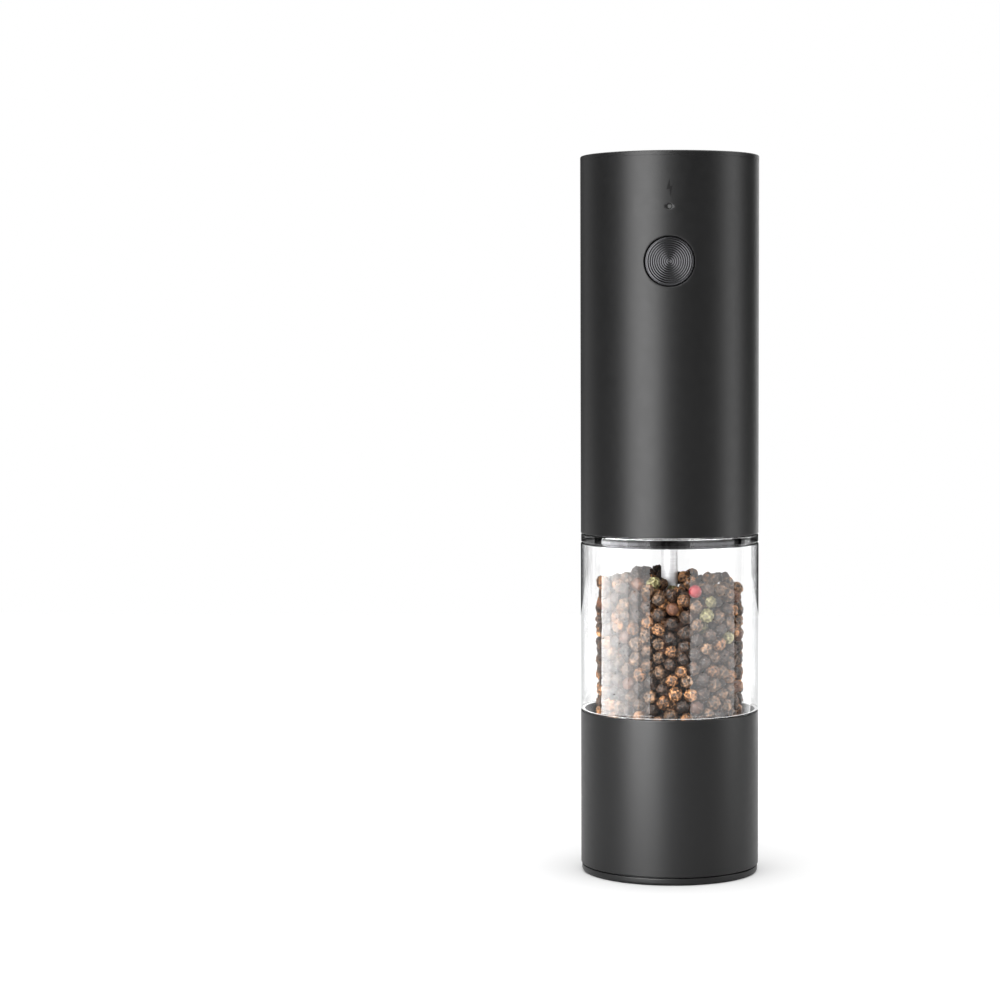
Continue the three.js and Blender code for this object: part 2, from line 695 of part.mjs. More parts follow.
function magnet(angle) {
  const spread = 1.1;
  const arc = (r, from, to) => Array.from({ length: 9 }, (_, i) => {
    const a = from + (to - from) * i / 8;
    return [r * Math.cos(a), r * Math.sin(a)];
  });
  const points = [
    ...arc(canInside - close, angle - spread, angle + spread),
    ...arc(rotorRadius + airGap, angle + spread, angle - spread),
  ];
  return raised(points, motorBottom + coreInset - overrun, motorTop - coreRoom + overrun);
}

function rotorCore() {
  const slot = block(rotorRadius - 4, rotorRadius + overrun, -0.8, 0.8, motorBottom, motorTop);
  const slots = around(3, (angle) => slot.clone().rotateZ(angle));
  const core = ring(rotorRadius, motorShaftRadius + close, motorBottom + coreInset, motorTop - coreRoom);
  return cut(core, ...slots);
}

function motorEndCap() {
  const plug = canInside - 2 * close;
  const bottom = canTop - 2;
  const bore = commutatorRadius + seat;
  return turned([
    [plug, bottom], [plug, canTop + seat], [motorRadius, canTop + seat], [motorRadius, motorTop],
    [bore, motorTop], [bore, bottom],
  ], 24);
}

const pinionBore = regular(12, motorShaftRadius + close);
const pinion = raised(gearOutline(sunTeeth, sunTurn), middleGears, motorPinionTop, [pinionBore]);
const plateBore = gearModule * sunTeeth / 2 + addendum + 1.6;
const motorPlateTop = motorPlateBottom + carrierPlate;
const cradle = ring(chassisInside - seat, motorRadius + seat, motorTop - 10, motorTop - 6);
const commutator = ring(commutatorRadius, motorShaftRadius + close, motorTop - 6.5, motorTop - 1.5, 12);
add(headUnit, 'motor_plate', ring(ringOutside, plateBore, motorPlateBottom, motorPlateTop), 'steel');
add(headUnit, 'motor_can', motorCan(), 'steel');
add(headUnit, 'motor_end_cap', motorEndCap(), 'whitePlastic');
add(headUnit, 'magnet_1', magnet(0), 'blackPlastic');
add(headUnit, 'magnet_2', magnet(Math.PI), 'blackPlastic');
add(headUnit, 'motor_cradle', cradle, 'greyPlastic');
add(headUnit, 'motor_shaft', disc(motorShaftRadius, middleGears, motorTop - 2 * seat, 12), 'steel');
add(headUnit, 'motor_pinion', pinion, 'brass');
add(headUnit, 'rotor_core', rotorCore(), 'steel');
add(headUnit, 'commutator', commutator, 'copper');

// ---------- cell ----------
const trayTop = trayBottom + 2.2;
const cellEdge = 0.6;
const nubRadius = 3.2;
const nubHeight = 1;
const cellShoulder = cellTop - nubHeight;
const cell = turned([
  [0, cellBottom], [cellRadius - cellEdge, cellBottom], [cellRadius, cellBottom + cellEdge],
  [cellRadius, cellShoulder - cellEdge], [cellRadius - cellEdge, cellShoulder],
  [nubRadius, cellShoulder], [nubRadius, cellTop], [0, cellTop],
], 24);
const trayPocket = ring(cellRadius + 1.6, cellRadius + seat, trayTop - bond, cellBottom + 5);
const contactSpring = (z0) => block(-3.5, 3.5, -3, 3, z0, z0 + contactThickness);
const cellTray = joined(disc(chassisInside - seat, trayBottom, trayTop), trayPocket);
add(headUnit, 'cell_tray', cellTray, 'greyPlastic');
add(headUnit, 'cell', cell, 'cellWrap');
add(headUnit, 'lower_contact', contactSpring(cellBottom - 1), 'brass');
add(headUnit, 'upper_contact', contactSpring(cellTop + 0.3), 'brass');
add(headUnit, 'cell_cover', disc(chassisInside - seat, cellTop + 1.1, cellTop + 2.5), 'greyPlastic');

// ---------- boards, switch, lamp and charging socket ----------
const boardBottom = trayTop + 1;
const boardTop = cellTop;
const boardBackY = boardFrontY + boardThick;
const socketY = Math.sqrt(linerRadius ** 2 - (socketWidth / 2) ** 2) - 0.1;
const socketZ = ledZ - socketThick / 2;
const chargeBoardFront = cellRadius + 1.2;
function usbSocket() {
  const half = socketWidth / 2;
  const back = socketY - socketDepth;
  const shell = block(-half, half, back, socketY, socketZ, socketZ + socketThick);
  const mouth = block(-half + socketWall, half - socketWall, back + 1, socketY + overrun,
    socketZ + socketWall, socketZ + socketThick - socketWall);
  const tip = half - 3 * socketWall;
  const tongue = block(-tip, tip, back + bond, socketY - overrun, ledZ - socketWall, ledZ + socketWall);
  return joined(cut(shell, mouth), tongue);
}

const chargeBoardHalf = 7;
const chargeBoardBack = Math.sqrt((chassisInside - 4 * close) ** 2 - chargeBoardHalf ** 2);
const chargeBoardTop = socketZ - close;
const lampFrontY = boardFrontY - 1.1;

// A block centred on x = 0 and on the height z, standing on the main board's front.
function onBoard(halfWidth, frontY, z, halfHeight) {
  return block(-halfWidth, halfWidth, frontY, boardFrontY - close, z - halfHeight, z + halfHeight);
}

const mainBoard = block(-boardWidth / 2, boardWidth / 2, boardFrontY, boardBackY, boardBottom, boardTop);
const chargeBoard = block(-chargeBoardHalf, chargeBoardHalf, chargeBoardFront, chargeBoardBack,
  chargeBoardTop - boardThick, chargeBoardTop);
const lightPipe = barAlongY(ledHoleRadius - 0.12, -(bodyRadius - 0.2), lampFrontY - 0.2, ledZ, 12);
add(headUnit, 'main_board', mainBoard, 'board');
add(headUnit, 'tact_switch', onBoard(switchSize / 2, switchFrontY, buttonZ, switchSize / 2), 'blackPlastic');
add(headUnit, 'status_lamp', onBoard(lampSize * 0.75, lampFrontY, ledZ, lampSize / 2), 'lamp');
add(headUnit, 'light_pipe', lightPipe, 'clear');
add(headUnit, 'charge_board', chargeBoard, 'board');
add(headUnit, 'charging_socket', usbSocket(), 'steel');

// ---------- button ----------
function buttonCap() {
  const rounded = 0.5;
  const side = buttonRadius - rounded;
  const depth = flangeBackY - buttonFaceY;
  const flange = flangeBackY - flangeFrontY;
  const cap = turned([
    [0, 0], [flangeRadius, 0], [flangeRadius, flange], [buttonRadius, flange],
    ...corner(side, depth - rounded, rounded, 0, 2), [0, depth],
  ], 24);
  return cap.rotateX(Math.PI / 2).translate(0, flangeBackY, buttonZ);
}

add(headUnit, 'button_cap', buttonCap(), 'spunMetal');
const plunger = barAlongY(1.7, flangeBackY + close, plungerBackY, buttonZ, 16);
add(headUnit, 'switch_plunger', plunger, 'whitePlastic');

export default group;
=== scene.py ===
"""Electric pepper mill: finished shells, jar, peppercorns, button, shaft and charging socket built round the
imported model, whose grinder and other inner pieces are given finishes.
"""
import json
import math

import bmesh
import bpy
import numpy as np
from bpy.props import FloatProperty, FloatVectorProperty, IntProperty, PointerProperty
from mathutils import Matrix, Vector

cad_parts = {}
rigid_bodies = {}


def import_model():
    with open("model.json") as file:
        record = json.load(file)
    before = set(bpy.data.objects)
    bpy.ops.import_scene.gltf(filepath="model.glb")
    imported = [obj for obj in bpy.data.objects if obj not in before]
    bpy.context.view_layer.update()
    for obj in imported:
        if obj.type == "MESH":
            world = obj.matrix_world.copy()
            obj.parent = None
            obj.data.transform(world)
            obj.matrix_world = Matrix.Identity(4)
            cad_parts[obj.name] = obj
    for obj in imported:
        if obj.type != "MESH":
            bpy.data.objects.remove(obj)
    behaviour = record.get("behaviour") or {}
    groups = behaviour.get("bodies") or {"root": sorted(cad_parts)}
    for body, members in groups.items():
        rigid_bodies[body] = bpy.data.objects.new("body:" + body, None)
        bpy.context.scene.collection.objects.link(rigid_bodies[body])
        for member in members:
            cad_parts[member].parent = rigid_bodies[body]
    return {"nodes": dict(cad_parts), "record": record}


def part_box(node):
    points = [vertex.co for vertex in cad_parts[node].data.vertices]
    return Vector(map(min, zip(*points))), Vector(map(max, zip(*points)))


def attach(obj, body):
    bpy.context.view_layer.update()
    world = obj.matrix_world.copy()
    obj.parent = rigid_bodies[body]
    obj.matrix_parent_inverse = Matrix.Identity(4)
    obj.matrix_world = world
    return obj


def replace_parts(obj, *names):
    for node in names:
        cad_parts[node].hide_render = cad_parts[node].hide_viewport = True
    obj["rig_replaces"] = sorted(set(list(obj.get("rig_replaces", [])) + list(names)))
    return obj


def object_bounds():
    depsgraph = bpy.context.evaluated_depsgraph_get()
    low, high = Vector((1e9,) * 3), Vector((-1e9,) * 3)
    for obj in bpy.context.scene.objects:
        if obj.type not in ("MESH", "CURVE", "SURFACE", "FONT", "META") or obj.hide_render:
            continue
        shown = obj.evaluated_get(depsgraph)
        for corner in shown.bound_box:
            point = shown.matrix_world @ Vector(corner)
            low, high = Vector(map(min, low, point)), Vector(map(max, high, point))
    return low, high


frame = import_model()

bl_info = {
    "name": "Pepper mill",
    "version": (1, 0, 0),
    "blender": (4, 5, 0),
    "location": "3D View > Sidebar > Pepper mill",
    "description": "Builds the finished surfaces of a push-button pepper mill and its studio stage",
    "category": "Object",
}

CAD_BOX = [list(corner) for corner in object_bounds()]
MM = 0.001
SEAT = 0.3 * MM  # clearance between pieces that sit in each other
CAP_WALL = 1.5 * MM  # wall of the spigots that the top cap and the base cap hold on by
BUTTON_FLANGE = 1.15 * MM  # width of the flange that keeps the button behind the sleeve
BUTTON_RADIUS = (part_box("button_cap")[1].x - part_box("button_cap")[0].x) / 2 - BUTTON_FLANGE


def node_span(node):
    """Lowest and highest point of a node, and its outer radius about the mill's axis."""
    low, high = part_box(node)
    return low.z, high.z, high.x


# ---------------------------------------------------------------- settings


def length(name, description, millimetres):
    """A size the user may change, stored in metres."""
    return FloatProperty(
        name=name, description=description, default=millimetres * MM, min=0.0, unit="LENGTH", precision=5
    )


def colour(name, description, rgb):
    """A colour the user may change."""
    return FloatVectorProperty(
        name=name, description=description, default=rgb, min=0.0, max=1.0, size=3, subtype="COLOR"
    )


class MillSizes(bpy.types.PropertyGroup):
    """Sizes of the mill that the outlines are drawn from"""

    segments: IntProperty(name="Segments", description="Facets round a turned piece", default=160, min=24)
    sleeve_wall: length("Sleeve wall", "Thickness of the metal sleeves", 0.8)
    sleeve_edge: length("Sleeve edge", "Rounding of the sleeves' open ends", 0.4)
    top_edge: length("Top edge", "Rounding round the top of the head", 0.5)
    skin: length("Skin", "How far the head's sleeve lies under its inlaid icon", 0.01)
    base_edge: length("Base edge", "Rounding round the underside of the base cap", 1.4)
    hole_rim: length("Hole rim", "Width of the bright chamfer round the holes in the head", 0.18)
    button_gap: length("Button gap", "Gap all round the button", 0.35)
    jar_wall: length("Jar wall", "Thickness of the clear jar", 4.0)
    jar_edge: length("Jar edge", "Rounding of the jar's steps", 0.35)
    groove_pitch: length("Groove pitch", "Distance between the spun grooves of the button", 0.62)
    groove_depth: length("Groove depth", "Depth of the spun grooves of the button", 0.05)
    neck_inset: length("Neck inset", "From the jar's outside in to its neck", 2.4)
    rim_height: length("Rim height", "Clear rim under the head", 2.2)
    groove_height: length("Groove height", "Thin groove under the clear rim", 0.4)
    corn_size: length("Peppercorn size", "Mean diameter of a peppercorn", 4.2)
    corn_count: IntProperty(name="Peppercorns", description="Peppercorns in the jar", default=1180, min=1)
    corn_seed: IntProperty(name="Fill", description="Which of the random fills is made", default=11)
    hexagon_height: length("Hexagon height", "Hexagon at the top of the drive shaft", 7.2)
    hexagon_flats: length("Hexagon across flats", "Hexagon at the top of the drive shaft", 4.0)
    collar_bore: length("Collar bore", "Radius of the hole in the head's collar", 5.2)
    icon_rise: length("Icon rise", "Centre of the charging icon above the lamp", 5.2)


class MillColours(bpy.types.PropertyGroup):
    """Colours of the mill's finishes"""

    lacquer: colour("Black lacquer", "Sleeves, top and base cap", (0.0022, 0.0022, 0.0023))
    spun: colour("Spun metal", "Face of the button", (0.04, 0.04, 0.042))
    moulding: colour("Black moulding", "Collar, chassis and grinder housing", (0.018, 0.018, 0.019))


class MillStage(bpy.types.PropertyGroup):
    """Camera and floor of the studio"""

    camera_distance: length("Camera distance", "From the mill's axis to the camera", 780)
    camera_height: length("Camera height", "Above the surface the mill stands on", 153.1)
    camera_yaw: FloatProperty(
        name="Camera yaw", description="Turn of the camera to the left of the mill",
        default=math.radians(3.65), subtype="ANGLE",
    )
    camera_pitch: FloatProperty(
        name="Camera pitch", description="Tilt of the camera below the horizon",
        default=math.radians(3.23), subtype="ANGLE",
    )
    camera_roll: FloatProperty(
        name="Camera roll", description="Turn of the camera about its own line of sight",
        default=math.radians(-0.2), subtype="ANGLE",
    )
    lens: FloatProperty(name="Lens", description="Focal length", default=95.8, unit="CAMERA")
    floor_size: length("Floor size", "Side of the square floor", 1500)
    light_distance: length("Light distance", "From the mill's axis to each soft box", 320)
    overhead: FloatProperty(name="Overhead", description="Radiance of the overhead soft box", default=2.6)
    surround: FloatProperty(name="Surround", description="Radiance of the dim surround", default=0.04)


def sizes():
    return bpy.context.scene.mill_sizes


def colours():
    return bpy.context.scene.mill_colours


# ---------------------------------------------------------------- shader nodes


class Finish:
    """A node material round one Principled shader, with short calls for the nodes it needs."""

    def __init__(self, name, base, roughness, metallic=0.0):
        self.material = bpy.data.materials.new(name)
        self.material.use_nodes = True
        self.tree = self.material.node_tree
        self.shader = self.tree.nodes["Principled BSDF"]
        self.set("Base Color", (*base, 1.0))
        self.set("Roughness", roughness)
        self.set("Metallic", metallic)
        self.place = self.tree.nodes.new("ShaderNodeTexCoord").outputs["Object"]

    def set(self, socket, value):
        self.shader.inputs[socket].default_value = value

    def node(self, kind, inputs=None, **settings):
        made = self.tree.nodes.new(kind)
        for key, value in settings.items():
            setattr(made, key, value)
        for key, value in (inputs or {}).items():
            if isinstance(value, bpy.types.NodeSocket):
                self.tree.links.new(value, made.inputs[key])
            else:
                made.inputs[key].default_value = value
        return made

    def link(self, output, socket):
        self.tree.links.new(output, self.shader.inputs[socket])

    def noise(self, scale, detail=3.0, place=None):
        inputs = {"Vector": place or self.place, "Scale": scale, "Detail": detail}
        return self.node("ShaderNodeTexNoise", inputs).outputs["Fac"]

    def between(self, factor, low, high):
        """A number that runs from low to high as factor does from 0.3 to 0.7."""
        inputs = {"Value": factor, "From Min": 0.3, "From Max": 0.7, "To Min": low, "To Max": high}
        return self.node("ShaderNodeMapRange", inputs).outputs["Result"]

    def blend(self, factor, low, high):
        """A colour between two others; each may be a plain colour or another node's output."""
        made = self.node("ShaderNodeMix", data_type="RGBA")
        for socket, value in ((made.inputs[0], factor), (made.inputs[6], low), (made.inputs[7], high)):
            if isinstance(value, bpy.types.NodeSocket):
                self.tree.links.new(value, socket)
            else:
                socket.default_value = value if isinstance(value, float) else (*value, 1.0)
        return made.outputs[2]

    def bump(self, height, distance, strength=1.0):
        inputs = {"Height": height, "Distance": distance, "Strength": strength}
        self.link(self.node("ShaderNodeBump", inputs).outputs["Normal"], "Normal")


def scaled(rgb, factor):
    return tuple(min(1.0, c * factor) for c in rgb)


def lacquer_finish():
    """Finely blasted black lacquer on metal: satin, with a faint cloudiness and grain."""
    made = Finish("black_lacquer", colours().lacquer, 0.42)
    made.set("Specular IOR Level", 0.28)
    cloud = made.noise(38.0, 2.0)
    grain = made.noise(5200.0, 2.0)
    made.link(made.blend(made.between(cloud, 0.0, 1.0), scaled(colours().lacquer, 0.9),
                         scaled(colours().lacquer, 1.12)), "Base Color")
    made.link(made.between(made.noise(420.0, 4.0), 0.40, 0.44), "Roughness")
    made.bump(grain, 0.000006, 0.5)
    return made.material


def moulded_finish(name, rgb, roughness, texture=2600.0, depth=0.00002):
    """Injection-moulded plastic with a fine spark-eroded texture."""
    made = Finish(name, rgb, roughness)
    made.link(made.blend(made.between(made.noise(90.0), 0.0, 1.0), scaled(rgb, 0.93), scaled(rgb, 1.07)),
              "Base Color")
    made.link(made.between(made.noise(700.0), roughness - 0.05, roughness + 0.05), "Roughness")
    made.bump(made.noise(texture, 2.0), depth, 0.6)
    return made.material


def machined_finish(name, rgb, roughness, bands=9000.0):
    """Turned metal: fine rings along the axis, slightly uneven in gloss."""
    made = Finish(name, rgb, roughness, 1.0)
    stretch = made.node("ShaderNodeMapping", {"Vector": made.place, "Scale": (0.02, 0.02, 1.0)})
    rings = made.noise(bands, 2.0, stretch.outputs["Vector"])
    made.link(made.blend(made.between(rings, 0.0, 1.0), scaled(rgb, 0.86), scaled(rgb, 1.06)), "Base Color")
    made.link(made.between(made.noise(900.0), roughness - 0.06, roughness + 0.08), "Roughness")
    made.bump(rings, 0.000004, 0.5)
    return made.material


def ceramic_finish():
    """Unglazed white ceramic with a few darker specks."""
    rgb = (0.80, 0.77, 0.70)
    made = Finish("white_ceramic", rgb, 0.52)
    rare = {"Value": made.noise(2400.0, 1.0), "From Min": 0.68, "From Max": 0.75}
    specks = made.node("ShaderNodeMapRange", rare)
    made.link(made.blend(specks.outputs["Result"], rgb, (0.45, 0.42, 0.37)), "Base Color")
    made.link(made.between(made.noise(600.0), 0.45, 0.6), "Roughness")
    made.bump(made.noise(3000.0, 3.0), 0.00002, 0.5)
    return made.material


def clear_finish(shoulder, rim_low, rim_high, middle_radius):
    """Polished acrylic: seen straight through, mirroring more towards its edges. Towards the outline the wall
    is painted grey and then dark, a painted shade in place of refraction, and ledges are made more opaque so
    that they show as thin grey lines. Along the shoulder the mirror is a little more opaque and the underside
    is painted pale, a painted highlight; the rim carries a painted dark reflection of the head, with a
    painted shadow line just under the head."""
    made = Finish("clear_acrylic", (1.0, 1.0, 1.0), 0.02, 1.0)
    least_mirror, inner_share = 0.016, 0.06  # seen square on; the bore's wall against the outer one
    band_start, band_end, line_end = 0.45, 0.88, 0.97  # from square on, 0, to edge on, 1
    band_cover, ledge_cover, glint_cover = 0.42, 0.75, 0.05
    rim_cover = (0.74, 0.94)
    blur = 0.15 * MM  # how softly the rim's painted reflection starts and ends

    def span(value, low, high, start=0.0, end=1.0):
        inputs = {"Value": value, "From Min": low, "From Max": high, "To Min": start, "To Max": end}
        return made.node("ShaderNodeMapRange", inputs).outputs["Result"]

    def maths(operation, first, second):
        values = {0: first, 1: second}
        return made.node("ShaderNodeMath", values, operation=operation, use_clamp=True).outputs[0]

    facing = made.node("ShaderNodeLayerWeight", {"Blend": 0.5}).outputs["Facing"]
    axes = made.node("ShaderNodeSeparateXYZ", {0: made.place}).outputs
    flat = made.node("ShaderNodeCombineXYZ", {0: axes["X"], 1: axes["Y"]}).outputs[0]
    radius = made.node("ShaderNodeVectorMath", {0: flat}, operation="LENGTH").outputs["Value"]
    outside = span(radius, middle_radius - 0.1 * MM, middle_radius + 0.1 * MM, inner_share)
    mirror = maths("MULTIPLY", span(maths("POWER", facing, 5.0), 0.0, 1.0, least_mirror), outside)
    # painted shade: a band towards the outline, in place of refraction through the wall
    painted_edge_shade = maths("MULTIPLY", span(facing, band_start, band_end), outside)
    normal = made.node("ShaderNodeNewGeometry").outputs["True Normal"]
    slant = maths("ABSOLUTE", made.node("ShaderNodeSeparateXYZ", {0: normal}).outputs["Z"], 0.0)
    ledge = span(slant, 0.3, 0.9, 0.0, ledge_cover)
    # Painted highlight along the shoulder: the mirror there is a little more opaque, and the underside is
    # made diffuse and painted pale.
    at_shoulder = span(axes["Z"], shoulder + 0.25 * MM, shoulder + 0.4 * MM, 1.0, 0.0)
    glint = maths("MULTIPLY", at_shoulder, glint_cover)
    under = maths("MULTIPLY", at_shoulder, span(slant, 0.6, 0.8))
    made.link(maths("SUBTRACT", 1.0, under), "Metallic")
    # The rim carries a painted reflection of the black head: nearly opaque and dark, uneven round the rim.
    in_rim = maths("MULTIPLY", span(axes["Z"], rim_low, rim_low + blur),
                   span(axes["Z"], rim_high - blur, rim_high, 1.0, 0.0))
    round_the_rim = made.node("ShaderNodeMapping", {"Vector": made.place, "Scale": (1.0, 1.0, 0.15)})
    painted_reflection_streaks = made.noise(150.0, 3.0, round_the_rim.outputs["Vector"])
    in_rim = maths("MULTIPLY", in_rim, made.between(painted_reflection_streaks, *rim_cover))
    cover = maths("ADD", mirror, maths("MULTIPLY", painted_edge_shade, band_cover))
    cover = maths("ADD", maths("ADD", cover, glint), ledge)
    made.link(maths("MAXIMUM", cover, in_rim), "Alpha")
    # painted shade: grey over that band, then a dark line at the outline itself
    tint = made.blend(painted_edge_shade, (1.0, 1.0, 1.0), (0.34, 0.35, 0.36))
    tint = made.blend(span(facing, band_end, line_end), tint, (0.03, 0.03, 0.03))
    # painted reflection of the head in the rim, darkest in a painted shadow line just under the head
    painted_shadow_under_head = maths("MULTIPLY", span(axes["Z"], rim_high - 0.75 * MM, rim_high - 0.55 * MM), in_rim)
    grey = made.blend(painted_shadow_under_head, (0.023, 0.023, 0.024), (0.004, 0.004, 0.004))
    # painted highlight: the shoulder's underside is painted pale
    tint = made.blend(under, tint, (0.95, 0.95, 0.95))
    made.link(made.blend(maths("GREATER_THAN", in_rim, 0.01), tint, grey), "Base Color")
    made.link(made.between(made.noise(300.0, 2.0), 0.012, 0.03), "Roughness")
    return made.material


# ---------------------------------------------------------------- mesh making


def add_mesh(name, points, faces, material, sharp=35.0):
    """A mesh object in the frame's own coordinates, smooth but for edges sharper than the angle given."""
    mesh = bpy.data.meshes.new(name)
    mesh.from_pydata(np.asarray(points, float).tolist(), [], faces)
    mesh.validate()
    mesh.update()
    made = bpy.data.objects.new(name, mesh)
    bpy.context.scene.collection.objects.link(made)
    mesh.polygons.foreach_set("use_smooth", np.ones(len(mesh.polygons), bool))
    mesh.set_sharp_from_angle(angle=math.radians(sharp))
    weighted = made.modifiers.new("even_shading", "WEIGHTED_NORMAL")
    weighted.keep_sharp = True
    mesh.materials.append(material)
    return made


def stand_for(piece, slot, body, *nodes):
    """The piece rides on a body and replaces CAD nodes; the material slot it is given is not used."""
    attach(piece, body)
    if nodes:
        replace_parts(piece, *nodes)
    return piece


def rounded(points, steps=4):
    """A closed outline whose corners given as (r, z, radius) are rounded by that radius."""
    made = []
    count = len(points)
    for i, point in enumerate(points):
        here = np.array(point[:2], float)
        radius = point[2] if len(point) > 2 else 0.0
        if radius <= 0:
            made.append(tuple(here))
            continue
        before = np.array(points[i - 1][:2], float) - here
        after = np.array(points[(i + 1) % count][:2], float) - here
        before_length, after_length = np.linalg.norm(before), np.linalg.norm(after)
        cut = min(radius, 0.45 * before_length, 0.45 * after_length)
        start = here + before / before_length * cut
        end = here + after / after_length * cut
        for step in range(steps + 1):
            t = step / steps
            made.append(tuple((1 - t) ** 2 * start + 2 * t * (1 - t) * here + t * t * end))
    return made


def turned(name, outline, material, segments=None, sharp=35.0):
    """Turns an outline of (r, z) about the mill's axis. A closed outline gives a ring; one that starts and
    ends on the axis gives a solid."""
    segments = segments or sizes().segments
    angles = np.arange(segments) * 2 * math.pi / segments
    points, faces, loops = [], [], []
    for r, z in outline:
        first = len(points)
        if r < 1e-9:
            points.append((0.0, 0.0, z))
            loops.append([first] * segments)
            continue
        points.extend((r * math.cos(a), r * math.sin(a), z) for a in angles)
        loops.append(list(range(first, first + segments)))
    ring = outline[0][0] > 1e-9
    pairs = list(zip(loops, loops[1:] + loops[:1])) if ring else list(zip(loops, loops[1:]))
    for low, high in pairs:
        for i in range(segments):
            j = (i + 1) % segments
            face = [low[i], low[j], high[j], high[i]]
            face = [v for n, v in enumerate(face) if v != face[n - 1]]
            if len(face) > 2:
                faces.append(face)
    made = add_mesh(name, points, faces, material, sharp)
    face_outwards(made.data)
    return made


def face_outwards(mesh):
    """Turns a closed mesh inside out if its faces point inwards."""
    points = np.empty(len(mesh.vertices) * 3)
    mesh.vertices.foreach_get("co", points)
    points = points.reshape(-1, 3)
    mesh.calc_loop_triangles()
    corners = np.empty(len(mesh.loop_triangles) * 3, int)
    mesh.loop_triangles.foreach_get("vertices", corners)
    a, b, c = (points[corners.reshape(-1, 3)[:, k]] for k in range(3))
    if np.einsum("ij,ij->i", a, np.cross(b, c)).sum() < 0:
        mesh.flip_normals()


# ---------------------------------------------------------------- sleeves with holes


class Hole:
    """A hole through a sleeve, straight along Y. Its outline is a rounded slot of half width w and half
    height h (a circle when they are equal), in the middle of a patch of the sleeve."""

    def __init__(self, z, w, h, patch_w, patch_h, front=True):
        self.z, self.w, self.h = z, w, h
        self.patch_w, self.patch_h = patch_w, patch_h
        self.front = front

    def edge(self, x, z, grow):
        """The outline's point in the direction of a point of the patch's border."""
        w, h = self.w + grow, self.h + grow
        angle = math.atan2(z, x)
        straight = max(0.0, w - h)
        cx, cz = math.cos(angle), math.sin(angle)
        if straight * abs(cz) < h * abs(cx) and straight > 0:
            side = math.copysign(straight, cx)
            along = cx * side
            reach = along + math.sqrt(max(0.0, h * h - (side * cz) ** 2))
            return reach * cx, reach * cz
        reach = h if straight == 0 else h / abs(cz)
        return reach * cx, reach * cz


